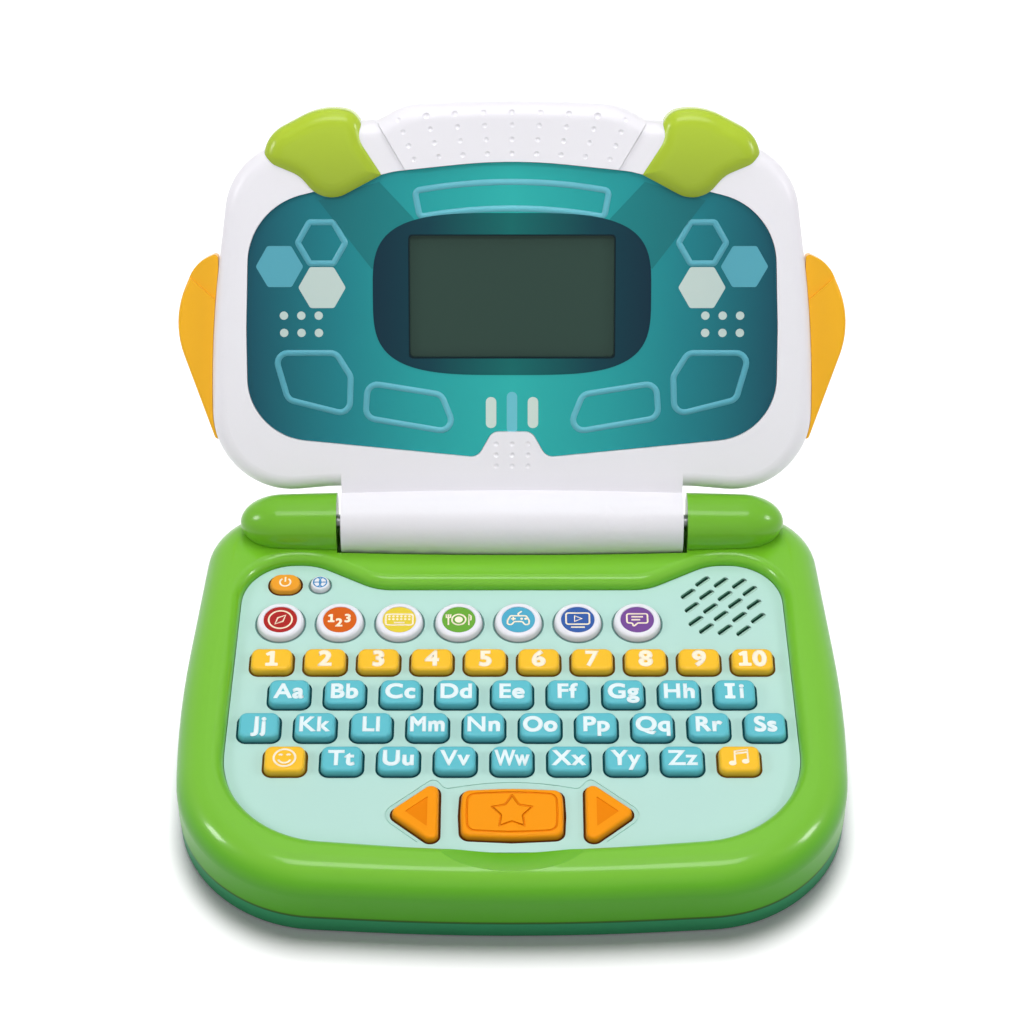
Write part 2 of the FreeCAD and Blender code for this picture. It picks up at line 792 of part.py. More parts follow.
def slot_places():
    """Two triangles of slots, each the other turned half round, with an aisle between them."""
    places = []
    for j, row in enumerate(slot_rows):
        for i in row:
            x = (i - 0.5) * slot_pitch_x + (j - 1.5) * slot_skew - slot_aisle / 2
            y = (1.5 - j) * slot_pitch_y - (i - 0.5) * slot_slope + slot_aisle / 2
            places += [(x, y), (-x, -y)]
    return places


def keyboard_panel(plan):
    body = prism(inset(panel_outline(), panel_gap), panel_under + seat_gap, panel_height)
    z0 = panel_under - 1
    z1 = panel_height + 1
    cuts = [prism(inset(points, -key_gap), z0, z1) for _, points, _, _, _ in plan]
    slot = prism(rectangle(0, 0, slot_length, slot_width, slot_width / 2), z0, z1)
    slot.rotate(V(0, 0, 0), V(0, 0, 1), slot_angle)
    for x, y in slot_places():
        cuts.append(slot.translated(V(speaker_x + x, speaker_y + y, 0)))
    return body.cut(cuts + [cluster_groove()])


def speaker():
    top = panel_under
    cone = speaker_radius - 2.4
    profile = Part.makePolygon([
        V(0, 0, top - 3.2), V(cone / 3, 0, top - 3.6), V(cone, 0, top - 1.0), V(cone + 0.6, 0, top),
        V(speaker_radius, 0, top), V(speaker_radius, 0, top - 1.6), V(speaker_radius * 0.75, 0, top - 5.0),
        V(magnet_radius, 0, top - 6.0), V(magnet_radius, 0, top - speaker_height),
        V(0, 0, top - speaker_height), V(0, 0, top - 3.2)])
    body = Part.Face(profile).revolve(V(0, 0, 0), V(0, 0, 1), 360)
    body.translate(V(speaker_x, speaker_y, 0))
    return body


def under_panel(margin, z0, z1):
    """Sheet that fills the panel's outline, less the speaker's corner."""
    near = speaker_radius + 1
    corner = box(speaker_x - near, base_width, speaker_y - near, base_depth, 0, base_height)
    return prism(inset(panel_outline(), margin), z0, z1).cut(corner)


def main_circuit_board():
    return under_panel(board_margin, board_bottom, board_bottom + board_thickness)


def key_dome_mat(plan):
    sheet = under_panel(board_margin + 1, mat_bottom, mat_bottom + mat_thickness)
    places = [place for _, _, _, _, domes in plan for place in domes]
    return sheet.fuse([column(x, y, dome_radius, mat_bottom, dome_top) for x, y in places])


def hinge_pins():
    inner = barrel_half - pin_in_barrel
    outer = knuckle_start + pin_in_knuckle
    return [rod(pin_radius, side * inner, side * outer, hinge_y, hinge_height) for side in (-1, 1)]


def lid_outline():
    side = apex(lid_half, lid_side_fall_foot, lid_apex_y - lid_bottom,
                lid_side_fall_top, lid_shoulder_y - lid_apex_y, lid_side_radius)
    crown = apex(lid_length, grip_end_drop, grip_end_x, grip_end_drop, grip_end_x, lid_top_bow_radius)
    return both_sides([
        (lid_neck_x, lid_bottom, 2 * lid_foot_radius),
        (side - lid_side_fall_foot, lid_bottom - lid_bottom_dip, lid_foot_radius),
        (side, lid_apex_y, lid_side_radius),
        (side - lid_side_fall_top, lid_shoulder_y, lid_shoulder_radius),
        (lid_top_x, lid_top_y, lid_top_radius),
        (grip_top_x, lid_top_y, grip_root_radius),
        (grip_end_x, crown - grip_end_drop, grip_end_radius),
        (0, crown, lid_top_bow_radius),
    ])


def overlay_crown():
    return apex(overlay_top_y, overlay_top_fall, overlay_arch_x, overlay_top_fall, overlay_arch_x,
                overlay_top_radius)


def overlay_outline():
    crown = overlay_crown()
    return both_sides([
        (tab_half_top, tab_y, tab_radius),
        (tab_half_foot, overlay_foot_y, tab_radius),
        (overlay_half, overlay_foot_y + overlay_foot_rise, overlay_foot_radius),
        (overlay_half, overlay_side_y, overlay_half),
        (overlay_half - overlay_side_fall, overlay_corner_y, overlay_corner_radius),
        (overlay_arch_x, crown - overlay_top_fall, overlay_arch_radius),
        (0, crown, overlay_top_radius),
    ])


def grip_outline():
    """Grip's zone on the lid: its lower edge follows the overlay and its ends slope outwards."""
    crown = overlay_crown()
    foot_y = crown - overlay_top_fall * grip_foot_x / overlay_arch_x
    lean = (grip_top_x - grip_foot_x) / (lid_top_y - foot_y)
    over = lid_length + lid_front_round
    return both_sides([
        (0, crown + 2 * fit_gap, overlay_top_radius),
        (grip_foot_x, foot_y + 2 * fit_gap, 0.6),
        (grip_foot_x + lean * (over - foot_y), over, 1.0),
    ])


def front_block(face, grow=0.0):
    block = prism(inset(lid_outline(), -grow), lid_split - grow, face + grow)
    return rounded(block, face + grow, lid_front_round)


def back_block(grow=0.0):
    block = prism(inset(lid_outline(), -grow), lid_back - grow, lid_split - seat_gap)
    return rounded(block, lid_back - grow, lid_back_round)


def wing_slots():
    reach = lid_half - wing_tab_depth - fit_gap
    half_y = wing_tab_half + fit_gap
    half_z = wing_tab_thickness / 2 + fit_gap
    return [box(min(s * reach, s * (lid_half + 5)), max(s * reach, s * (lid_half + 5)), wing_tab_y - half_y,
                wing_tab_y + half_y, lid_split - half_z, lid_split + half_z) for s in (-1, 1)]


def dimple(x, y, face):
    return Part.makeSphere(dimple_ball, V(x, y, face + dimple_ball - dimple_depth))


def lid_front_bezel():
    rim = lid_outline()
    screen = overlay_outline()
    neck = box(-barrel_half, barrel_half, 0, lid_bottom + lid_front_round + 1, lid_split, lid_face)
    body = front_block(lid_face).fuse([neck, barrel(0, barrel_half)])
    wall_back = lid_face - lid_front_wall
    ledge_back = overlay_back - overlay_ledge_thickness
    kept = [prism(inset(screen, -lid_wall), ledge_back, lid_face),
            prism(inset(grip_outline(), -lid_wall), grip_seat - lid_wall, lid_face)]
    kept += [column(x, y, screw_boss_radius, lid_split, lid_face) for x, y in lid_screw_places]
    core = barrel_half - pin_in_barrel - 3
    cable_way = box(-core / 2, core / 2, 0, lid_bottom + lid_wall + 1, lid_split + 1.5, lid_split + 5)
    cuts = [prism(inset(rim, lid_wall), lid_split - 1, wall_back).cut(kept),
            prism(inset(screen, -fit_gap), overlay_back - seat_gap, lid_face + 1),
            prism(inset(screen, overlay_ledge), lid_split - 1, lid_face + 1),
            prism(inset(grip_outline(), -fit_gap), grip_seat - seat_gap, lid_face + 1),
            rod(barrel_core_radius, -core, core), cable_way]
    for side in (-1, 1):
        cuts.append(rod(pin_radius + pin_running_gap, side * (barrel_half - pin_in_barrel - fit_gap),
                        side * (barrel_half + 1)))
        cuts.append(column(side * cap_x, peg_y, peg_radius + fit_gap, lid_split, lid_face + 1))
    cuts += [column(x, y, screw_shank_radius + thread_gap, lid_split - 1, lid_screw_tip + fit_gap)
             for x, y in lid_screw_places]
    for x in row_places(3, tab_dimple_pitch_x):
        for y in row_places(3, tab_dimple_pitch_y):
            cuts.append(dimple(x, tab_dimple_y + y, lid_face))
    return body.cut(cuts + wing_slots())


def lid_back_shell():
    kept = [column(x, y, screw_boss_radius, lid_back, lid_split) for x, y in lid_screw_places]
    post_foot = lid_back + lid_wall / 2
    posts = [column(x, y, post_radius, post_foot, lcd_board_back - seat_gap) for x, y in lcd_posts]
    hollow = prism(inset(lid_outline(), lid_wall), lid_back + lid_wall, lid_split + 1)
    hollow = rounded(hollow, lid_back + lid_wall, lid_back_round - lid_wall)
    body = back_block().cut(hollow.cut(kept)).fuse(posts)
    cuts = []
    for x, y in lid_screw_places:
        cuts.append(column(x, y, screw_head_radius + screw_hole_gap, lid_back - 1, lid_screw_seat))
        cuts.append(column(x, y, screw_shank_radius + screw_hole_gap, lid_back, lid_split + 1))
    return body.cut(cuts + wing_slots())


def handle_grip():
    body = front_block(grip_face).common(prism(grip_outline(), grip_seat, grip_face + 1))
    cuts = []
    for row in range(dimple_rows):
        row_y = dimple_first_y + row * dimple_row_pitch
        over = max(lid_front_round - (lid_length - row_y), 0)
        face = grip_face - lid_front_round + math.sqrt(lid_front_round ** 2 - over ** 2)
        for x in row_places(dimple_columns, dimple_first_pitch + row * dimple_pitch_gain):
            cuts.append(dimple(x, row_y - dimple_row_sag * x * x, face))
    return body.cut(cuts)


def screen_overlay():
    window = rectangle(0, window_y, window_width, window_height, window_radius)
    sheet = prism(overlay_outline(), overlay_back, overlay_face)
    return sheet.cut(prism(window, overlay_back - 1, overlay_face + 1))


def lcd_module():
    window = rectangle(0, window_y, window_width, window_height, window_radius)
    glass = inset(window, -glass_margin)
    return [prism(glass, glass_back, glass_front),
            prism(inset(window, -lcd_board_margin), lcd_board_back, lcd_board_front)]


def cap_outline():
    return [(cap_x + x, cap_y + y, r) for x, y, r in cap_shape]


def pillow(points, top):
    """Crown of a cap: the outline is drawn in by steps, so that its edge rolls over like an ellipse."""
    rings = []
    for i in range(cap_roll_steps + 1):
        turn = math.pi / 2 * i / cap_roll_steps
        drawn_in = cap_roll_width * (1 - math.cos(turn))
        rings.append(outline(inset(points, drawn_in), top - cap_roll_height * (1 - math.sin(turn))))
    return Part.makeLoft(rings, True, False)


def corner_caps():
    room = front_block(lid_face, fit_gap).fuse(back_block(fit_gap))
    skirt = rounded(prism(cap_outline(), cap_back, cap_face - cap_roll_height), cap_back, cap_round)
    cap = skirt.fuse(pillow(cap_outline(), cap_face)).cut(room)
    cap = cap.fuse(column(cap_x, peg_y, peg_radius, lid_face - peg_length, lid_face + 1))
    return [cap, cap.mirror(V(0, 0, 0), V(1, 0, 0))]


def side_wings():
    room = front_block(lid_face, fit_gap).fuse(back_block(fit_gap))
    root = lid_half - wing_root
    shape = [(root, wing_foot_y, wing_root_radius),
             (lid_half + wing_reach, wing_widest_y, wing_widest_radius),
             (lid_half + wing_shoulder_reach, wing_shoulder_y, wing_shoulder_radius),
             (root, wing_top_y, wing_root_radius)]
    wing = prism(shape, wing_back, wing_front)
    wing = rounded(rounded(wing, wing_front, wing_round), wing_back, wing_round)
    crease = [(root - 3, wing_crease_y, 0.2), (root + 27, wing_crease_y + 27, 0.2),
              (root - 3, wing_crease_y + 30, 0.2)]
    wing = wing.cut([prism(crease, wing_front - wing_step, wing_front + 1), room])
    half_z = wing_tab_thickness / 2
    tab = box(lid_half - wing_tab_depth, lid_half + wing_root, wing_tab_y - wing_tab_half,
              wing_tab_y + wing_tab_half, lid_split - half_z, lid_split + half_z)
    wing = wing.fuse(tab)
    return [wing, wing.mirror(V(0, 0, 0), V(1, 0, 0))]


def lid_screws():
    return [screw(x, y, lid_screw_seat) for x, y in lid_screw_places]


def opened(shape):
    """Lid piece turned from flat to its open pose and set on the hinge axis."""
    placed = shape.copy()
    placed.rotate(V(0, 0, 0), V(1, 0, 0), 180 - open_angle)
    placed.translate(V(0, hinge_y, hinge_height))
    return placed


def save(name, shapes):
    solids = [s for shape in shapes for s in shape.Solids]
    Part.makeCompound(solids).exportStep("parts/%s.step" % name)


def main():
    plan = key_plan()
    nodes = {
        "base_upper_shell": [base_upper_shell(plan)],
        "base_lower_shell": [base_lower_shell()],
        "keyboard_panel": [keyboard_panel(plan)],
        "battery_door": [battery_door()],
        "battery_cells": battery_cells(),
        "battery_contacts": battery_contacts(),
        "base_screws": base_screws(),
        "main_circuit_board": [main_circuit_board()],
        "speaker": [speaker()],
        "key_dome_mat": [key_dome_mat(plan)],
        "hinge_pins": hinge_pins(),
    }
    nodes.update(keys(plan))
    lid = {
        "lid_front_bezel": [lid_front_bezel()],
        "lid_back_shell": [lid_back_shell()],
        "screen_overlay": [screen_overlay()],
        "lcd_module": lcd_module(),
        "corner_caps": corner_caps(),
        "side_wings": side_wings(),
        "handle_grip": [handle_grip()],
        "lid_screws": lid_screws(),
    }
    for name, shapes in lid.items():
        nodes[name] = [opened(shape) for shape in shapes]
    for name, shapes in nodes.items():
        save(name, shapes)


main()
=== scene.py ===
import bmesh
import bpy
import json
import math
from mathutils import Matrix, Vector


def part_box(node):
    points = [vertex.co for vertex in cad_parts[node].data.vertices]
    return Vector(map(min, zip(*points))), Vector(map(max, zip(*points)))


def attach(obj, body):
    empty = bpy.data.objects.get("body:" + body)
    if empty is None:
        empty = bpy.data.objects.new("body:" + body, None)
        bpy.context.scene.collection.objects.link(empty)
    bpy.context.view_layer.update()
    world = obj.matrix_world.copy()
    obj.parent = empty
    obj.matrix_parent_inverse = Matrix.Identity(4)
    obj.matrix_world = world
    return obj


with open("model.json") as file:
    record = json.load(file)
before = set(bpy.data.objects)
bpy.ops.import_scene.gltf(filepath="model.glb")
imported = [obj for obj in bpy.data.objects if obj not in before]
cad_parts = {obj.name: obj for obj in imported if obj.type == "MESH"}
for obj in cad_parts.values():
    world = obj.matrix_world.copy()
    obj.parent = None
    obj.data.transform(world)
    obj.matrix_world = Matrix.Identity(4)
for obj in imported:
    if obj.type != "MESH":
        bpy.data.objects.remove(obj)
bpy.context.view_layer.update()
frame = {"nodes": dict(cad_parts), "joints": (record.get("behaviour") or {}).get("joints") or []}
nodes = frame["nodes"]
mm = 0.001
hinge = next(joint for joint in frame["joints"] if joint["name"] == "lid_hinge")
lidTilt = math.radians(180 - hinge["range_deg"][1])  # the end of the range shuts the lid, at 180 degrees
lidPlace = Matrix.Translation(hinge["pos_m"]) @ Matrix.Rotation(lidTilt, 4, "X")
print("frame:", len(nodes), "nodes")


def colour(red, green, blue):  # from screen levels to linear light
    def linear(value):
        value /= 255
        return value / 12.92 if value <= 0.04045 else ((value + 0.055) / 1.055) ** 2.4
    return (linear(red), linear(green), linear(blue), 1.0)


def grey(shade):
    return (shade, shade, shade)


# shader node trees

def addNode(tree, kind, **settings):
    made = tree.nodes.new(kind)
    for key, value in settings.items():
        setattr(made, key, value)
    return made


def setInputs(node, values):
    for label, value in values.items():
        node.inputs[label].default_value = value


def newGroup(name, inputs, outputs):
    tree = bpy.data.node_groups.new(name, "ShaderNodeTree")
    for label, kind, value in inputs:
        socket = tree.interface.new_socket(label, in_out="INPUT", socket_type="NodeSocket" + kind)
        socket.default_value = value
    for label, kind in outputs:
        tree.interface.new_socket(label, in_out="OUTPUT", socket_type="NodeSocket" + kind)
    return tree, addNode(tree, "NodeGroupInput"), addNode(tree, "NodeGroupOutput")


def addMath(tree, operation, first, second, third=None):
    made = addNode(tree, "ShaderNodeMath", operation=operation)
    for index, value in enumerate((first, second, third)):
        if isinstance(value, bpy.types.NodeSocket):
            tree.links.new(value, made.inputs[index])
        elif value is not None:
            made.inputs[index].default_value = value
    return made.outputs[0]


def addNoise(tree, vector, scale, detail=2.0, distortion=0.0):
    made = addNode(tree, "ShaderNodeTexNoise")
    tree.links.new(vector, made.inputs["Vector"])
    setInputs(made, {"Detail": detail, "Distortion": distortion})
    if isinstance(scale, bpy.types.NodeSocket):
        tree.links.new(scale, made.inputs["Scale"])
    else:
        made.inputs["Scale"].default_value = scale
    return made.outputs["Fac"]


# moulded plastic: slow colour drift, uneven gloss, fine spark-eroded grain and faint rub marks
mouldedForm = {"driftScale": 16.0, "patchScale": 90.0, "rubTurn": (0.3, 0.2, 0.6),
               "rubScale": (30, 420, 160), "rubBend": 0.4, "rubFrom": 0.62, "rubMost": 0.2,
               "rubBlend": 0.05}


def mouldedSkinGroup():
    tree, source, sink = newGroup(
        "mouldedSkin",
        [("Color", "Color", (0.8, 0.8, 0.8, 1)), ("Drift", "Float", 0.04), ("Gloss", "Float", 0.3),
         ("Gloss Drift", "Float", 0.06), ("Grain", "Float", 1500.0), ("Rub", "Float", 0.1),
         ("Shade", "Color", (1, 1, 1, 1))],
        [("Color", "Color"), ("Roughness", "Float"), ("Height", "Float")])
    place = addNode(tree, "ShaderNodeTexCoord").outputs["Object"]
    slow = addMath(tree, "SUBTRACT", addNoise(tree, place, mouldedForm["driftScale"], detail=3.0), 0.5)
    tone = addNode(tree, "ShaderNodeHueSaturation")
    tree.links.new(addMath(tree, "MULTIPLY_ADD", slow, source.outputs["Drift"], 1.0), tone.inputs["Value"])
    tree.links.new(source.outputs["Color"], tone.inputs["Color"])
    # painted shade: the colour is multiplied by the Shade input
    shaded = addNode(tree, "ShaderNodeVectorMath", operation="MULTIPLY")
    tree.links.new(tone.outputs[0], shaded.inputs[0])
    tree.links.new(source.outputs["Shade"], shaded.inputs[1])
    tree.links.new(shaded.outputs[0], sink.inputs["Color"])
    stretch = addNode(tree, "ShaderNodeMapping")
    setInputs(stretch, {"Rotation": mouldedForm["rubTurn"], "Scale": mouldedForm["rubScale"]})
    tree.links.new(place, stretch.inputs["Vector"])
    streak = addNoise(tree, stretch.outputs[0], 1.0, detail=4.0, distortion=mouldedForm["rubBend"])
    strong = addMath(tree, "MAXIMUM", addMath(tree, "SUBTRACT", streak, mouldedForm["rubFrom"]), 0.0)
    rubbed = addMath(tree, "SMOOTH_MIN", strong, mouldedForm["rubMost"], mouldedForm["rubBlend"])
    patchy = addMath(tree, "SUBTRACT", addNoise(tree, place, mouldedForm["patchScale"], detail=3.0), 0.5)
    uneven = addMath(tree, "MULTIPLY_ADD", patchy, source.outputs["Gloss Drift"], source.outputs["Gloss"])
    rough = addMath(tree, "MULTIPLY_ADD", rubbed, source.outputs["Rub"], uneven)
    tree.links.new(rough, sink.inputs["Roughness"])
    tree.links.new(addNoise(tree, place, source.outputs["Grain"], detail=1.0), sink.inputs["Height"])
    return tree


# drawn or plated metal: long brush lines and dull patches
metalForm = {"stretch": (0.05, 1, 1), "patchScale": 220.0, "toneLow": 0.85, "toneDrift": 0.25,
             "glossDrift": 0.2}


def metalSkinGroup():
    tree, source, sink = newGroup(
        "metalSkin",
        [("Color", "Color", (0.7, 0.7, 0.7, 1)), ("Gloss", "Float", 0.3), ("Brush", "Float", 900.0)],
        [("Color", "Color"), ("Roughness", "Float"), ("Height", "Float")])
    place = addNode(tree, "ShaderNodeTexCoord").outputs["Object"]
    stretch = addNode(tree, "ShaderNodeMapping")
    stretch.inputs["Scale"].default_value = metalForm["stretch"]
    tree.links.new(place, stretch.inputs["Vector"])
    dull = addNoise(tree, place, metalForm["patchScale"], detail=3.0)
    value = addMath(tree, "MULTIPLY_ADD", dull, metalForm["toneDrift"], metalForm["toneLow"])
    tone = addNode(tree, "ShaderNodeHueSaturation")
    tree.links.new(value, tone.inputs["Value"])
    tree.links.new(source.outputs["Color"], tone.inputs["Color"])
    tree.links.new(tone.outputs[0], sink.inputs["Color"])
    rough = addMath(tree, "MULTIPLY_ADD", dull, metalForm["glossDrift"], source.outputs["Gloss"])
    tree.links.new(rough, sink.inputs["Roughness"])
    tree.links.new(addNoise(tree, stretch.outputs[0], source.outputs["Brush"]), sink.inputs["Height"])
    return tree


mouldedSkin = mouldedSkinGroup()
metalSkin = metalSkinGroup()
bumpDepth = 0.1  # millimetres


def startMaterial(name):
    material = bpy.data.materials.new(name)
    material.use_nodes = True
    tree = material.node_tree
    return material, tree, tree.nodes["Principled BSDF"]


def setStops(ramp, stops):
    elements = ramp.color_ramp.elements
    while len(elements) < len(stops):
        elements.new(1.0)
    for element, (position, tint) in zip(elements, stops):
        element.position = position
        element.color = tint


def linkSkin(tree, shader, skin, bump):
    tree.links.new(skin.outputs["Color"], shader.inputs["Base Color"])
    tree.links.new(skin.outputs["Roughness"], shader.inputs["Roughness"])
    relief = addNode(tree, "ShaderNodeBump")
    setInputs(relief, {"Strength": bump, "Distance": bumpDepth * mm})
    tree.links.new(skin.outputs["Height"], relief.inputs["Height"])
    tree.links.new(relief.outputs["Normal"], shader.inputs["Normal"])


plasticForm = {"glossDrift": 0.25, "coatRoughness": 0.12, "coatPower": 4.0, "softReach": 2.0}


def plastic(name, tint, gloss=0.3, grain=1500.0, bump=0.15, drift=0.05, coat=0.0, rub=0.12, soft=0.0,
            shine=0.35, paintedShade=None):
    material, tree, shader = startMaterial(name)
    skin = addNode(tree, "ShaderNodeGroup", node_tree=mouldedSkin)
    setInputs(skin, {"Color": colour(*tint), "Drift": drift, "Gloss": gloss, "Grain": grain, "Rub": rub,
                     "Gloss Drift": plasticForm["glossDrift"] * gloss})
    setInputs(shader, {"Specular IOR Level": shine, "Coat Weight": coat, "Subsurface Weight": soft,
                       "Coat Roughness": plasticForm["coatRoughness"],
                       "Subsurface Radius": grey(plasticForm["softReach"] * mm)})
    linkSkin(tree, shader, skin, bump)
    if paintedShade:  # painted shade: pairs of a height above the floor at rest, in millimetres, and the shade painted there
        reach = paintedShade[-1][0]
        split = addNode(tree, "ShaderNodeSeparateXYZ")
        tree.links.new(addNode(tree, "ShaderNodeTexCoord").outputs["Object"], split.inputs[0])
        ramp = addNode(tree, "ShaderNodeValToRGB")
        setStops(ramp, [(height / reach, (*shade, 1.0)) for height, shade in paintedShade])
        tree.links.new(addMath(tree, "DIVIDE", split.outputs["Z"], reach * mm), ramp.inputs[0])
        tree.links.new(ramp.outputs[0], skin.inputs["Shade"])
        if coat:  # the coat thins out with the shade
            thinning = addMath(tree, "POWER", ramp.outputs[0], plasticForm["coatPower"])
            tree.links.new(addMath(tree, "MULTIPLY", thinning, coat), shader.inputs["Coat Weight"])
    return material


def metal(name, tint, gloss=0.3, brush=900.0, bump=0.2):
    material, tree, shader = startMaterial(name)
    skin = addNode(tree, "ShaderNodeGroup", node_tree=metalSkin)
    setInputs(skin, {"Color": colour(*tint), "Gloss": gloss, "Brush": brush})
    linkSkin(tree, shader, skin, bump)
    shader.inputs["Metallic"].default_value = 1.0
    return material


# a print whose colour runs from the middle of the lid out to its sides, over a reach in millimetres
printForm = {"gloss": 0.16, "glossDrift": 0.05, "drift": 0.05, "grain": 2400.0, "bump": 0.03, "shine": 0.12}


def screenPrint(name, reach, stops):
    material, tree, shader = startMaterial(name)
    place = addNode(tree, "ShaderNodeTexCoord").outputs["Object"]
    spread = addNode(tree, "ShaderNodeMapping")
    spread.inputs["Scale"].default_value = (1 / (reach * mm), 0, 0)
    tree.links.new(place, spread.inputs["Vector"])
    length = addNode(tree, "ShaderNodeVectorMath", operation="LENGTH")
    tree.links.new(spread.outputs[0], length.inputs[0])
    ramp = addNode(tree, "ShaderNodeValToRGB")
    setStops(ramp, [(position, colour(*tint)) for position, tint in stops])
    tree.links.new(length.outputs["Value"], ramp.inputs[0])
    skin = addNode(tree, "ShaderNodeGroup", node_tree=mouldedSkin)
    tree.links.new(ramp.outputs[0], skin.inputs["Color"])
    setInputs(skin, {"Drift": printForm["drift"], "Gloss": printForm["gloss"], "Grain": printForm["grain"],
                     "Gloss Drift": printForm["glossDrift"]})
    linkSkin(tree, shader, skin, printForm["bump"])
    shader.inputs["Specular IOR Level"].default_value = printForm["shine"]
    return material


# green lacquer over copper runs
boardForm = {"offset": 0.5, "scale": 180.0, "gap": 0.06, "lacquer": (24, 84, 52), "pale": (28, 92, 58),
             "runs": (58, 128, 74), "gloss": 0.35, "bump": 0.1}


def boardMaterial(name):
    material, tree, shader = startMaterial(name)
    place = addNode(tree, "ShaderNodeTexCoord").outputs["Object"]
    runs = addNode(tree, "ShaderNodeTexBrick", offset=boardForm["offset"])
    setInputs(runs, {"Scale": boardForm["scale"], "Mortar Size": boardForm["gap"],
                     "Color1": colour(*boardForm["lacquer"]), "Color2": colour(*boardForm["pale"]),
                     "Mortar": colour(*boardForm["runs"])})
    tree.links.new(place, runs.inputs["Vector"])
    skin = addNode(tree, "ShaderNodeGroup", node_tree=mouldedSkin)
    tree.links.new(runs.outputs["Color"], skin.inputs["Color"])
    skin.inputs["Gloss"].default_value = boardForm["gloss"]
    linkSkin(tree, shader, skin, boardForm["bump"])
    return material


# painted shade by height above the floor: on the green shell a dark seam line, partly its real joint,
# the front face below the crest darker and deeper green and the hinge knuckles darker up high; on the
# dark green lower shell a darker foot and a dark seam line; each key and button darker at its foot in its
# well; the hinge barrel darker low down; the corner caps darker towards their lower tips
greenShellShade = [(8.0, grey(0.2)), (8.7, grey(0.25)), (9.1, (0.42, 0.68, 0.3)), (21.0, (0.41, 0.68, 0.28)),
             (25.5, (0.66, 0.87, 0.5)), (29.0, grey(1.0)), (32.0, grey(1.0)), (38.0, grey(0.9))]
rimShade = [(2.0, grey(0.85)), (7.2, grey(1.0)), (7.5, grey(0.45)), (8.5, grey(0.45))]
wellShade = [(25.8, grey(0.3)), (26.3, grey(0.5)), (27.4, grey(0.82)), (28.6, grey(1.0))]
buttonShade = [(25.8, grey(0.5)), (26.3, grey(0.8)), (28.0, grey(1.0))]
barrelShade = [(44.0, grey(0.93)), (52.0, grey(1.0))]
capShade = [(136, grey(0.64)), (147, grey(0.8)), (160, grey(1.0))]

# values that several finishes share
keyLook = {"gloss": 0.34, "bump": 0.12, "shine": 0.25, "paintedShade": wellShade}
gapShadeLook = {"gloss": 0.6, "shine": 0.1}
slotLook = {"gloss": 0.45, "grain": 1200, "bump": 0.2, "shine": 0.15}
inkLook = {"gloss": 0.5, "bump": 0.06, "drift": 0.03, "shine": 0.15}
labelLook = {"gloss": 0.4, "bump": 0.06, "shine": 0.2}

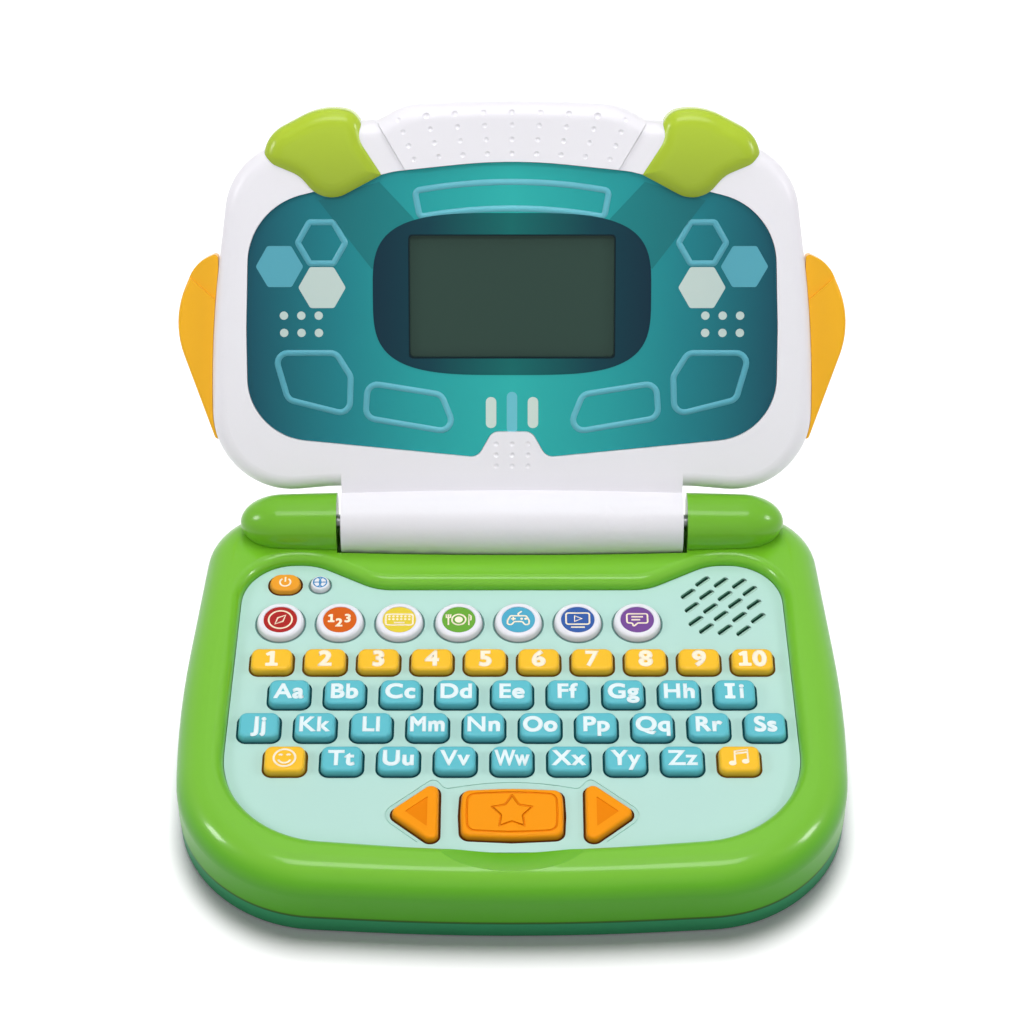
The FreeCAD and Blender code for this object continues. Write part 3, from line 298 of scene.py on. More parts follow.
finishes = {
    "green": plastic("greenPlastic", (113, 184, 35), gloss=0.32, grain=1300, bump=0.08, rub=0.05,
                     shine=0.22, coat=0.55, paintedShade=greenShellShade),
    "darkGreen": plastic("darkGreenPlastic", (50, 137, 92), gloss=0.42, grain=1100, bump=0.3, shine=0.15,
                         paintedShade=rimShade),
    "mint": plastic("mintPlastic", (179, 216, 207), gloss=0.4, grain=1200, bump=0.2, shine=0.2),
    "yellow": plastic("yellowKey", (242, 188, 40), **keyLook),
    "teal": plastic("tealKey", (92, 185, 198), **keyLook),
    "orange": plastic("orangeKey", (244, 150, 14), gloss=0.36, bump=0.12, shine=0.1, paintedShade=wellShade),
    "paleOrange": plastic("paleOrange", (234, 156, 44), gloss=0.36, bump=0.12, shine=0.15,
                          paintedShade=buttonShade),
    # painted shade: a darker orange for the grooves and recesses of the big keys
    "shadeOrange": plastic("shadeOrange", (232, 130, 0), gloss=0.45, bump=0.12, shine=0.1),
    "whiteButton": plastic("whiteButton", (229, 228, 236), gloss=0.3, bump=0.1, paintedShade=buttonShade),
    # painted shade: dark copies of the key colours, for the sheets round the keys
    "tealGapShade": plastic("tealGapShade", (6, 66, 72), **gapShadeLook),
    "yellowGapShade": plastic("yellowGapShade", (98, 68, 12), **gapShadeLook),
    "orangeGapShade": plastic("orangeGapShade", (78, 38, 6), **gapShadeLook),
    "whiteGapShade": plastic("whiteGapShade", (100, 136, 132), **gapShadeLook),
    # painted shade: a dark sheet for the floor of each speaker slot and a darker mint for its back wall
    "slotShade": plastic("slotShade", (10, 44, 34), **gapShadeLook),
    "slotLedge": plastic("slotLedge", (162, 196, 183), **slotLook),
    "slotWallShade": plastic("slotWallShade", (74, 122, 102), **slotLook),
    "white": plastic("whitePlastic", (234, 232, 238), gloss=0.34, grain=1300, bump=0.14, coat=0.08,
                     paintedShade=barrelShade),
    "lime": plastic("limePlastic", (171, 196, 46), gloss=0.24, bump=0.08, paintedShade=capShade),
    "amber": plastic("amberPlastic", (241, 177, 28), gloss=0.3, bump=0.1, shine=0.3),
    "overlay": screenPrint("overlayPrint", 100, [(0.0, (46, 176, 172)), (0.36, (38, 156, 158)),
                                                 (0.66, (30, 126, 136)), (0.98, (24, 84, 100))]),
    "surround": screenPrint("surroundPrint", 53, [(0.0, (16, 104, 102)), (0.6, (14, 62, 74)),
                                                  (1.0, (14, 46, 62))]),
    "beam": screenPrint("beamPrint", 100, [(0.3, (30, 134, 136)), (0.7, (28, 108, 116))]),
    "paleBlue": screenPrint("paleBluePrint", 100, [(0.0, (108, 192, 206)), (0.8, (88, 166, 184))]),
    "palePrint": screenPrint("palePrint", 100, [(0.0, (206, 222, 214)), (0.9, (190, 208, 204))]),
    # painted shade: a dark sheet lining the walls of the screen window
    "wallShade": plastic("windowWallShade", (16, 34, 40), gloss=0.5, bump=0.1, shine=0.1),
    "glass": plastic("lcdGlass", (48, 70, 62), gloss=0.18, bump=0.02, grain=2600, shine=0.12),
    "board": boardMaterial("circuitBoard"),
    "silicone": plastic("siliconeMat", (206, 208, 204), gloss=0.6, bump=0.3, soft=0.1),
    "speaker": plastic("speakerCone", (30, 32, 34), gloss=0.55, bump=0.4, grain=900),
    "cell": metal("cellCan", (150, 152, 156), gloss=0.3),
    "contact": metal("contactSteel", (196, 192, 180), gloss=0.28),
    "screw": metal("screwSteel", (120, 122, 126), gloss=0.32),
    "pin": metal("pinSteel", (168, 170, 172), gloss=0.26),
    "ink": plastic("whiteInk", (226, 240, 243), **inkLook),
    "creamInk": plastic("creamInk", (250, 236, 212), **inkLook),
    "blueInk": plastic("blueInk", (58, 138, 196), gloss=0.45, bump=0.06, drift=0.04),
    "redLabel": plastic("redLabel", (168, 32, 30), **labelLook),
    "orangeLabel": plastic("orangeLabel", (208, 92, 12), **labelLook),
    "yellowLabel": plastic("yellowLabel", (224, 200, 58), **labelLook),
    "greenLabel": plastic("greenLabel", (102, 162, 52), **labelLook),
    "skyLabel": plastic("skyLabel", (76, 164, 194), **labelLook),
    "blueLabel": plastic("blueLabel", (50, 88, 160), **labelLook),
    "purpleLabel": plastic("purpleLabel", (114, 70, 144), **labelLook),
}

nodeFinish = {
    "base_upper_shell": "green", "base_lower_shell": "darkGreen", "battery_door": "darkGreen",
    "keyboard_panel": "mint", "battery_cells": "cell", "battery_contacts": "contact",
    "base_screws": "screw", "main_circuit_board": "board", "speaker": "speaker", "key_dome_mat": "silicone",
    "hinge_pins": "pin", "lid_front_bezel": "white", "lid_back_shell": "white", "handle_grip": "white",
    "screen_overlay": "overlay", "lcd_module": "glass", "corner_caps": "lime", "side_wings": "amber",
    "lid_screws": "screw",
    "number_keys": "yellow", "smile_key": "yellow", "music_key": "yellow", "power_button": "paleOrange",
    "left_arrow_key": "orange", "right_arrow_key": "orange", "star_key": "orange",
}
for name, node in nodes.items():
    if name in nodeFinish:
        finish = nodeFinish[name]
    else:
        finish = "teal" if name.startswith("key_") else "whiteButton"
    node.data.materials.clear()
    node.data.materials.append(finishes[finish])
print("finishes:", len(finishes))


# outlines and flat shapes, in millimetres

def arc(x, y, radius, start, end, steps, squash=1.0):
    angles = [math.radians(start + (end - start) * step / steps) for step in range(steps + 1)]
    return [(x + radius * math.cos(angle), y + squash * radius * math.sin(angle)) for angle in angles]


def loop(x, y, radius, steps=48, squash=1.0):
    return arc(x, y, radius, 0, 360, steps, squash)[:-1]


def boxEdge(x, y, halfX, halfY):
    return [(x - halfX, y - halfY), (x + halfX, y - halfY), (x + halfX, y + halfY), (x - halfX, y + halfY)]


def superEllipse(x, y, halfX, halfY, power, steps=120):
    points = []
    for step in range(steps):
        angle = 2 * math.pi * step / steps
        cosine, sine = math.cos(angle), math.sin(angle)
        points.append((x + math.copysign(abs(cosine) ** (2 / power), cosine) * halfX,
                       y + math.copysign(abs(sine) ** (2 / power), sine) * halfY))
    return points


def softCorners(points, radius, steps=6):
    most = 0.49  # of a side's length, so that two corners don't meet
    soft = []
    for index, point in enumerate(points):
        here = Vector(point)
        before = Vector(points[index - 1]) - here
        after = Vector(points[(index + 1) % len(points)]) - here
        half = before.angle(after) / 2
        reach = min(radius / math.tan(half), most * before.length, most * after.length)
        bend = reach * math.tan(half)
        centre = here + (before.normalized() + after.normalized()).normalized() * (bend / math.sin(half))
        first = here + before.normalized() * reach - centre
        last = here + after.normalized() * reach - centre
        swing = first.angle_signed(last)
        for step in range(steps + 1):
            turned = first.copy()
            turned.rotate(Matrix.Rotation(-swing * step / steps, 2))
            soft.append(tuple(centre + turned))
    return soft


# moves every side of a counter-clockwise outline outwards
def grown(points, margin):
    moved = []
    for index, point in enumerate(points):
        here = Vector(point)
        before = (here - Vector(points[index - 1])).normalized()
        after = (Vector(points[(index + 1) % len(points)]) - here).normalized()
        outward = Vector((before.y + after.y, -before.x - after.x)).normalized()
        moved.append(tuple(here + outward * margin / outward.dot(Vector((before.y, -before.x)))))
    return moved


def plate(outline, height, hole=None):
    made = bmesh.new()
    edges = []
    for points in (outline, hole) if hole else (outline,):
        ring = [made.verts.new((x * mm, y * mm, 0)) for x, y in points]
        edges += [made.edges.new((ring[index - 1], ring[index])) for index in range(len(ring))]
    bmesh.ops.triangle_fill(made, use_beauty=True, use_dissolve=False, edges=edges)
    for face in made.faces:
        if face.normal.z < 0:
            face.normal_flip()
    extruded = bmesh.ops.extrude_face_region(made, geom=made.faces[:])
    raised = [item for item in extruded["geom"] if isinstance(item, bmesh.types.BMVert)]
    bmesh.ops.translate(made, verts=raised, vec=(0, 0, height * mm))
    bmesh.ops.recalc_face_normals(made, faces=made.faces[:])
    mesh = bpy.data.meshes.new("plate")
    made.to_mesh(mesh)
    made.free()
    return mesh


# geometry node trees

def newTree(name, inputs):
    tree = bpy.data.node_groups.new(name, "GeometryNodeTree")
    for label, kind in inputs:
        tree.interface.new_socket(label, in_out="INPUT", socket_type="NodeSocket" + kind)
    tree.interface.new_socket("Geometry", in_out="OUTPUT", socket_type="NodeSocketGeometry")
    return tree, addNode(tree, "NodeGroupInput"), addNode(tree, "NodeGroupOutput")


def endTree(tree, source, sink, geometry):
    realized = addNode(tree, "GeometryNodeRealizeInstances")
    inked = addNode(tree, "GeometryNodeSetMaterial")
    tree.links.new(geometry, realized.inputs[0])
    tree.links.new(realized.outputs[0], inked.inputs["Geometry"])
    tree.links.new(source.outputs["Ink"], inked.inputs["Material"])
    tree.links.new(inked.outputs[0], sink.inputs[0])
    return tree


# a flat band swept along curves
def addSweep(tree, curves, width, height):
    upright = addNode(tree, "GeometryNodeSetCurveNormal", mode="Z_UP")
    profile = addNode(tree, "GeometryNodeCurvePrimitiveQuadrilateral")
    sweep = addNode(tree, "GeometryNodeCurveToMesh")
    tree.links.new(curves, upright.inputs["Curve"])
    tree.links.new(width, profile.inputs["Width"])
    tree.links.new(height, profile.inputs["Height"])
    tree.links.new(upright.outputs[0], sweep.inputs["Curve"])
    tree.links.new(profile.outputs[0], sweep.inputs["Profile Curve"])
    return sweep


def ribbonTree():
    tree, source, sink = newTree(
        "strokeRibbon", [("Geometry", "Geometry"), ("Width", "Float"), ("Height", "Float"),
                         ("Ink", "Material")])
    sweep = addSweep(tree, source.outputs["Geometry"], source.outputs["Width"], source.outputs["Height"])
    sweep.inputs["Fill Caps"].default_value = True
    return endTree(tree, source, sink, sweep.outputs[0])


def dotTree():
    tree, source, sink = newTree(
        "dotField", [("Geometry", "Geometry"), ("Columns", "Int"), ("Rows", "Int"), ("Pitch X", "Float"),
                     ("Pitch Y", "Float"), ("Radius", "Float"), ("Height", "Float"), ("Ink", "Material")])
    field = addNode(tree, "GeometryNodeMeshGrid")
    for axis, count in (("X", "Columns"), ("Y", "Rows")):
        steps = addMath(tree, "SUBTRACT", source.outputs[count], 1.0)
        size = addMath(tree, "MULTIPLY", steps, source.outputs["Pitch " + axis])
        tree.links.new(size, field.inputs["Size " + axis])
        tree.links.new(source.outputs[count], field.inputs["Vertices " + axis])
    dot = addNode(tree, "GeometryNodeMeshCylinder")
    dot.inputs["Vertices"].default_value = 24
    tree.links.new(source.outputs["Radius"], dot.inputs["Radius"])
    tree.links.new(source.outputs["Height"], dot.inputs["Depth"])
    spread = addNode(tree, "GeometryNodeInstanceOnPoints")
    tree.links.new(field.outputs["Mesh"], spread.inputs["Points"])
    tree.links.new(dot.outputs["Mesh"], spread.inputs["Instance"])
    return endTree(tree, source, sink, spread.outputs[0])


# filled letters with a band along their outlines, which makes them bold and rounds their ends
def legendTree():
    tree, source, sink = newTree(
        "legendText", [("Geometry", "Geometry"), ("Text", "String"), ("Size", "Float"), ("Weight", "Float"),
                       ("Spacing", "Float"), ("Height", "Float"), ("Ink", "Material")])
    fillLevel = 0.75  # of the height, above the middle of the band
    letters = addNode(tree, "GeometryNodeStringToCurves")
    outlines = addNode(tree, "GeometryNodeRealizeInstances")
    tree.links.new(source.outputs["Text"], letters.inputs["String"])
    tree.links.new(source.outputs["Size"], letters.inputs["Size"])
    tree.links.new(source.outputs["Spacing"], letters.inputs["Character Spacing"])
    tree.links.new(letters.outputs["Curve Instances"], outlines.inputs[0])
    sweep = addSweep(tree, outlines.outputs[0], source.outputs["Weight"], source.outputs["Height"])
    filled = addNode(tree, "GeometryNodeFillCurve")
    level = addNode(tree, "ShaderNodeCombineXYZ")
    lift = addNode(tree, "GeometryNodeSetPosition")
    tree.links.new(outlines.outputs[0], filled.inputs["Curve"])
    tree.links.new(addMath(tree, "MULTIPLY", source.outputs["Height"], fillLevel), level.inputs["Z"])
    tree.links.new(filled.outputs[0], lift.inputs["Geometry"])
    tree.links.new(level.outputs[0], lift.inputs["Offset"])
    joined = addNode(tree, "GeometryNodeJoinGeometry")
    tree.links.new(sweep.outputs[0], joined.inputs[0])
    tree.links.new(lift.outputs[0], joined.inputs[0])
    return endTree(tree, source, sink, joined.outputs[0])


strokeRibbon = ribbonTree()
dotField = dotTree()
legendText = legendTree()
crossing = 0.004  # lifts each stroke above the last one, so that crossings lie a hair apart


def baked(data, tree, values):
    host = bpy.data.objects.new("host", data)
    bpy.context.collection.objects.link(host)
    modifier = host.modifiers.new(tree.name, "NODES")
    modifier.node_group = tree
    for item in tree.interface.items_tree:
        if item.name in values:
            modifier[item.identifier] = values[item.name]
    graph = bpy.context.evaluated_depsgraph_get()
    mesh = bpy.data.meshes.new_from_object(host.evaluated_get(graph), depsgraph=graph)
    bpy.data.objects.remove(host)
    return mesh


def strokes(paths, width, height, ink):  # each path is its points, and whether it is closed
    data = bpy.data.curves.new("paths", "CURVE")
    data.dimensions = "3D"
    for index, (points, closed) in enumerate(paths):
        spline = data.splines.new("POLY")
        spline.points.add(len(points) - 1)
        for place, (x, y) in zip(spline.points, points):
            place.co = (x * mm, y * mm, (height / 2 + crossing * index) * mm, 1)
        spline.use_cyclic_u = closed
    return baked(data, strokeRibbon, {"Width": width * mm, "Height": height * mm, "Ink": finishes[ink]})


def dots(form, height, ink):
    values = {"Columns": form["columns"], "Rows": form["rows"], "Pitch X": form["pitchX"] * mm,
              "Pitch Y": form["pitchY"] * mm, "Radius": form["radius"] * mm, "Height": height * mm,
              "Ink": finishes[ink]}
    return baked(bpy.data.meshes.new("dots"), dotField, values)


def lettering(text, form, ink):
    def printed(weight):
        values = {"Text": text, "Size": form["size"] * mm, "Weight": weight * mm,
                  "Spacing": form["spacing"], "Height": form["height"] * mm, "Ink": finishes[ink]}
        mesh = baked(bpy.data.meshes.new("legend"), legendText, values)
        across = [vertex.co.x for vertex in mesh.vertices]
        return mesh, min(across), max(across)
    mesh, low, high = printed(form["weight"])
    squeeze = min(1.0, form["fit"] * mm / (high - low))
    if squeeze < 1:  # a narrowed pair keeps the weight of its strokes
        mesh, low, high = printed(form["weight"] / squeeze)
    centred = Matrix.Translation((-(low + high) / 2, 0, form["height"] * mm / 2))
    mesh.transform(Matrix.Diagonal((squeeze, 1, 1, 1)) @ centred)
    return mesh


def addPiece(name, mesh, place, body, finish=None):
    mesh.transform(place)
    if finish:
        mesh.materials.clear()
        mesh.materials.append(finishes[finish])
    piece = bpy.data.objects.new(name, mesh)
    bpy.context.collection.objects.link(piece)
    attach(piece, body)
    return piece


def onTop(name, lift=0.0, shiftX=0.0, shiftY=0.0):
    low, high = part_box(name)
    middle = (low + high) / 2
    return Matrix.Translation((middle.x + shiftX * mm, middle.y + shiftY * mm, high.z + lift * mm))


# key legends
letterPrint = {"size": 9.5, "weight": 0.8, "height": 0.05, "fit": 12.6, "baseline": -3.2, "spacing": 1.08,
               "capitalShift": -1.9, "smallShift": 2.4, "corner": 0.3}
alphabet = "abcdefghijklmnopqrstuvwxyz"
barredI = [(-1.9, -0.4), (1.9, -0.4), (1.9, 1.0), (0.9, 1.0), (0.9, 5.5), (1.9, 5.5), (1.9, 6.9),
           (-1.9, 6.9), (-1.9, 5.5), (-0.9, 5.5), (-0.9, 1.0), (-1.9, 1.0)]
for letter in alphabet:
    key = "key_" + letter
    pair = letter.upper() + letter
    shift = 0.0
    if letter == "i":  # the capital has bars, so that it doesn't read as a small L
        pair = letter
        shift = letterPrint["smallShift"]
        mesh = plate(softCorners(barredI, letterPrint["corner"]), letterPrint["height"])
        place = onTop(key, 0, letterPrint["capitalShift"], letterPrint["baseline"])
        addPiece("legend_i_capital", mesh, place, key + "_body", "ink")
    mesh = lettering(pair, letterPrint, "ink")
    place = onTop(key, 0, shift, letterPrint["baseline"])
    addPiece("legend_" + letter, mesh, place, key + "_body")

numberPrint = {"size": 10.0, "weight": 1.05, "height": 0.05, "fit": 10.0, "baseline": -3.3, "spacing": 1.0,
               "count": 10, "pitch": 19.89, "corner": 0.4, "tensShift": -3.0, "unitsShift": 2.6}
one = [(-2.2, -3.6), (2.5, -3.6), (2.5, -2.1), (1.15, -2.1), (1.15, 3.7), (-0.4, 3.7), (-2.3, 2.4),
       (-1.6, 1.2), (-0.6, 1.8), (-0.6, -2.1), (-2.2, -2.1)]
numberReach = (numberPrint["count"] - 1) / 2 * numberPrint["pitch"]
for index in range(numberPrint["count"]):
    figure = str(index + 1)
    across = index * numberPrint["pitch"] - numberReach
    paired = len(figure) > 1
    if figure[0] == "1":
        shift = across + (numberPrint["tensShift"] if paired else 0.0)
        mesh = plate(softCorners(one, numberPrint["corner"]), numberPrint["height"])
        addPiece("legend_" + figure + "_one", mesh, onTop("number_keys", 0, shift), "number_keys_body",
                 "creamInk")
    if figure != "1":
        shift = across + (numberPrint["unitsShift"] if paired else 0.0)
        mesh = lettering(figure[-1], numberPrint, "creamInk")
        addPiece("legend_" + figure, mesh, onTop("number_keys", 0, shift, numberPrint["baseline"]),
                 "number_keys_body")
print("key legends done")

# mode buttons: a coloured label in each recess, with a line drawing on it
labelPrint = {"radius": 6.3, "depth": 0.3, "height": 0.2, "line": 0.65, "ink": 0.05, "disc": 1.5}
labelFinish = {"travel": "redLabel", "count": "orangeLabel", "type": "yellowLabel", "food": "greenLabel",
               "game": "skyLabel", "show": "blueLabel", "talk": "purpleLabel"}
padOutline = [(-4.1, -0.5), (-3.0, 1.9), (3.0, 1.9), (4.1, -0.5), (4.0, -2.5), (2.5, -2.5), (1.5, -1.0),
              (-1.5, -1.0), (-2.5, -2.5), (-4.0, -2.5)]
bubbleOutline = [(-3.9, 2.9), (3.9, 2.9), (3.9, -1.7), (0.2, -1.7), (-1.7, -3.7), (-1.7, -1.7),
                 (-3.9, -1.7)]
drawings = {
    "travel": [(loop(0, 0, 4.4), True), ([(-1.9, -2.2), (1.0, -0.9), (1.9, 2.2), (-1.0, 0.9)], True)],
    "type": [(softCorners(boxEdge(0, 0, 5.1, 2.7), 0.9), True), ([(-2.0, -1.5), (2.0, -1.5)], False)],
    "food": [(loop(0, 0, 2.6), True), ([(-3.9, -2.7), (-3.9, 1.0)], False),
             ([(-4.7, 2.6), (-4.7, 1.0), (-3.1, 1.0), (-3.1, 2.6)], False),
             ([(-3.9, 1.0), (-3.9, 2.6)], False),
             ([(3.8, -2.7), (3.8, 2.6), (4.6, 1.7), (4.6, -0.2), (3.8, -0.2)], False)],
    "game": [(softCorners(padOutline, 0.8), True), ([(0, 1.9), (0, 3.1), (1.3, 4.2)], False),
             ([(-2.8, 0.4), (-1.0, 0.4)], False), ([(-1.9, -0.5), (-1.9, 1.3)], False)],
    "show": [(softCorners(boxEdge(0, 0.5, 4.4, 2.8), 0.9), True), ([(-2.6, -3.8), (2.6, -3.8)], False),
             ([(-1.2, -0.9), (-1.2, 1.9), (1.6, 0.5)], True)],
    "talk": [(softCorners(bubbleOutline, 0.8), True), ([(-2.2, 1.4), (2.2, 1.4)], False),
             ([(-2.2, -0.1), (1.1, -0.1)], False)],
}
inkLevel = labelPrint["height"] - labelPrint["depth"]
for mode, finish in labelFinish.items():
    button = mode + "_button"
    mesh = plate(loop(0, 0, labelPrint["radius"], steps=72), labelPrint["height"])
    place = onTop(button, -labelPrint["depth"])
    addPiece(mode + "_label", mesh, place, button + "_body", finish)
    if mode in drawings:
        mesh = strokes(drawings[mode], labelPrint["line"], labelPrint["ink"], "creamInk")
        addPiece(mode + "_drawing", mesh, onTop(button, inkLevel), button + "_body")

figurePrint = {"size": 5.4, "weight": 0.5, "height": labelPrint["ink"], "fit": 4.0, "spacing": 1.0,
               "oneScale": 0.55, "oneCorner": 0.25, "onePlace": (-3.3, 0.7),
               "places": {"2": (-0.3, -3.3), "3": (2.9, -1.1)}}
smallOne = [(figurePrint["oneScale"] * x, figurePrint["oneScale"] * y) for x, y in one]
mesh = plate(softCorners(smallOne, figurePrint["oneCorner"]), figurePrint["height"])
place = onTop("count_button", inkLevel, *figurePrint["onePlace"])
addPiece("count_drawing_1", mesh, place, "count_button_body", "creamInk")
for figure, (x, y) in figurePrint["places"].items():
    mesh = lettering(figure, figurePrint, "creamInk")
    place = onTop("count_button", inkLevel, x, y)
    addPiece("count_drawing_" + figure, mesh, place, "count_button_body")

dotPrints = {
    "type": {"columns": 6, "rows": 2, "pitchX": 1.5, "pitchY": 1.4, "radius": 0.46, "place": (0, 0.9)},
    "game": {"columns": 2, "rows": 1, "pitchX": 1.5, "pitchY": 1.0, "radius": 0.5, "place": (2.0, 0.4)},
}
for mode, form in dotPrints.items():
    button = mode + "_button"
    mesh = dots(form, labelPrint["ink"], "creamInk")
    place = onTop(button, inkLevel, *form["place"])
    addPiece(mode + "_dots", mesh, place, button + "_body")
mesh = plate(loop(0, 0, labelPrint["disc"]), labelPrint["ink"])
addPiece("food_disc", mesh, onTop("food_button", inkLevel), "food_button_body", "creamInk")
print("mode labels done")

# drawings on the yellow keys, the power button and the globe button
signPrint = {"line": 0.8, "fine": 0.65, "finest": 0.45, "ink": 0.05, "headRadius": 1.35, "headSquash": 0.8,
             "headInk": 0.075, "heads": {"left": (-2.6, -2.5), "right": (2.1, -1.7)}}
signs = {  # paths, line, ink
    "smile_key": [[(loop(0, 0, 3.9), True), (arc(0, -0.1, 2.3, 200, 340, 16), False),
                   (arc(-1.4, 0.9, 0.62, 20, 160, 10), False), (arc(1.4, 0.9, 0.62, 20, 160, 10), False)],
                  "line", "creamInk"],
    "music_key": [[([(-1.7, -2.5), (-1.7, 3.0), (3.0, 3.8), (3.0, -1.7)], False),
                   ([(-1.7, 1.8), (3.0, 2.6)], False)],
                  "line", "creamInk"],
    "power_button": [[(arc(0, 0, 2.0, 125, 415, 36), False), ([(0, 0.2), (0, 2.6)], False)],
                     "fine", "creamInk"],
    "globe_button": [[(loop(0, 0, 2.5), True), ([(-2.5, 0), (2.5, 0)], False),
                      (arc(-2.6, 0, 2.9, -55, 55, 16), False), (arc(2.6, 0, 2.9, 125, 235, 16), False)],
                     "finest", "blueInk"],
}
for name, (paths, line, ink) in signs.items():
    mesh = strokes(paths, signPrint[line], signPrint["ink"], ink)
    addPiece(name + "_drawing", mesh, onTop(name), name + "_body")
for side, (x, y) in signPrint["heads"].items():
    head = loop(x, y, signPrint["headRadius"], steps=32, squash=signPrint["headSquash"])
    mesh = plate(head, signPrint["headInk"])
    addPiece("note_head_" + side, mesh, onTop("music_key"), "music_key_body", "creamInk")

# the outlines of the keys at the panel, within the lip that holds each key
bigKeys = {"starHalf": (18.7, 11.5), "bow": 1.0, "arrowInner": 26.0, "arrowLength": 18.6,
           "arrowHalf": 15.75, "corner": 3.2}
keyLip = 0.9


def keyMiddle(name):
    low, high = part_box(name)
    return (low + high) / 2 / mm


def keyHalf(name):
    low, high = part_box(name)
    return (high - low) / 2 / mm


def starEdge():
    x, y = bigKeys["starHalf"]
    inner = x - bigKeys["bow"] / 2
    corner = y - bigKeys["bow"]
    middle = keyMiddle("star_key").y
    return [(0, middle - y), (inner, middle - corner), (x, middle), (inner, middle + corner),
            (0, middle + y), (-inner, middle + corner), (-x, middle), (-inner, middle - corner)]


def arrowEdge(side):
    back = side * bigKeys["arrowInner"]
    middle = keyMiddle("right_arrow_key").y
    half = side * bigKeys["arrowHalf"]
    return [(back, middle - half), (back + side * bigKeys["arrowLength"], middle), (back, middle + half)]


def capEdge(name):
    middle = keyMiddle(name)
    half = keyHalf(name)
    return boxEdge(middle.x, middle.y, half.x - keyLip, half.y - keyLip)


# fillings in the grooves and recesses of the big keys, which leave them as shallow as they look;
# their darker orange is painted shade in the grooves and recesses
sunk = {"depth": 0.8, "line": 1.2, "fill": 0.5, "points": 5, "tip": 8.05, "waist": 4.36,
        "panelMargin": 2.45, "arrowMargin": 4.15, "arrowCorner": 0.4}
flat = Matrix.Translation((0, 0, onTop("star_key", -sunk["depth"]).translation.z))
middle = keyMiddle("star_key").y
star = []
for turn in range(2 * sunk["points"]):
    radius = sunk["waist"] if turn % 2 else sunk["tip"]
    angle = turn * math.pi / sunk["points"]
    star.append((radius * math.sin(angle), middle + radius * math.cos(angle)))
panel = softCorners(grown(starEdge(), -sunk["panelMargin"]), bigKeys["corner"])
mesh = strokes([(star, True), (panel, True)], sunk["line"], sunk["fill"], "shadeOrange")
addPiece("star_key_groove_shades", mesh, flat, "star_key_body")
for side, sign in (("left", -1), ("right", 1)):
    inset = softCorners(grown(arrowEdge(sign), -sunk["arrowMargin"]), sunk["arrowCorner"])
    mesh = plate(inset, sunk["fill"])
    addPiece(side + "_arrow_floor_shade", mesh, flat, side + "_arrow_key_body", "shadeOrange")

# painted shade round the keys: dark sheets on the panel, where the gaps round the keys fall in shade
gapShadeForm = {"offset": 0.38, "line": 0.6, "sheet": 0.02, "corner": 3.2, "arrowCorner": 3.0,
            "powerCorner": 4.6, "roundCorner": 20.0}
panelTop = Matrix.Translation((0, 0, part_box("keyboard_panel")[1].z))
numberMiddle = keyMiddle("number_keys")
numberHalf = keyHalf("number_keys")
numberEdges = [boxEdge(numberMiddle.x - numberReach + index * numberPrint["pitch"], numberMiddle.y,
                       numberHalf.x - numberReach - keyLip, numberHalf.y - keyLip)
               for index in range(numberPrint["count"])]
yellowEdges = numberEdges + [capEdge("smile_key"), capEdge("music_key")]
roundKeys = [mode + "_button" for mode in labelFinish] + ["globe_button"]
gapShades = {
    "teal": [(capEdge("key_" + letter), gapShadeForm["corner"]) for letter in alphabet],
    "yellow": [(edge, gapShadeForm["corner"]) for edge in yellowEdges],
    "orange": [(starEdge(), gapShadeForm["corner"]), (arrowEdge(-1), gapShadeForm["arrowCorner"]),
               (arrowEdge(1), gapShadeForm["arrowCorner"]), (capEdge("power_button"), gapShadeForm["powerCorner"])],
    "white": [(capEdge(name), gapShadeForm["roundCorner"]) for name in roundKeys],
}
for tone, edges in gapShades.items():
    rings = []
    for edge, corner in edges:
        ring = softCorners(grown(edge, gapShadeForm["offset"]), corner + gapShadeForm["offset"], steps=12)
        rings.append((ring, True))
    mesh = strokes(rings, gapShadeForm["line"], gapShadeForm["sheet"], tone + "GapShade")
    addPiece(tone + "_key_gap_shades", mesh, panelTop, "base")

# painted shade in each speaker slot: a dark sheet on its floor and a darker wall along its back, with a
# light ledge along its front
# the slots make two triangles, turned half round from each other
slots = {"x": 80.1, "y": 42.2, "pitchX": 7.0, "pitchY": 6.9, "skew": 1.2, "slope": 0.55, "aisle": 3.8,
         "angle": 42.0, "rows": ((0, 1, 2), (-1, 0, 1), (-1, 0), (-1,)), "midRow": 1.5, "midColumn": 0.5,
         "half": 3.0, "depth": 1.0}
slotBands = {  # width, shift toward the front, thickness, finish
    "speaker_slot_shades": [2.4, 0.0, 0.4, "slotShade"],
    "speaker_slot_ledges": [0.9, 0.78, 0.85, "slotLedge"],
    "speaker_slot_wall_shades": [0.45, -1.05, 0.7, "slotWallShade"],
}
slotAngle = math.radians(slots["angle"])
along = Vector((math.cos(slotAngle), math.sin(slotAngle))) * slots["half"]
forward = Vector((along.y, -along.x)).normalized()
slotMiddles = []
for row, columns in enumerate(slots["rows"]):
    for column in columns:
        right = column - slots["midColumn"]
        down = row - slots["midRow"]
        x = right * slots["pitchX"] + down * slots["skew"] - slots["aisle"] / 2
        y = -down * slots["pitchY"] - right * slots["slope"] + slots["aisle"] / 2
        slotMiddles += [Vector((slots["x"] + x, slots["y"] + y)), Vector((slots["x"] - x, slots["y"] - y))]
slotBottom = panelTop @ Matrix.Translation((0, 0, -slots["depth"] * mm))
for name, (width, shift, rise, finish) in slotBands.items():
    places = [middle + forward * shift for middle in slotMiddles]
    lines = [([tuple(place - along), tuple(place + along)], False) for place in places]
    addPiece(name, strokes(lines, width, rise, finish), slotBottom, "base")
print("signs done")

# print on the screen overlay, x across and y up from the hinge line
lidPrint = {"face": 1.3, "step": 0.03, "thick": 0.03, "line": 2.3, "back": -0.3}
thick = lidPrint["thick"]


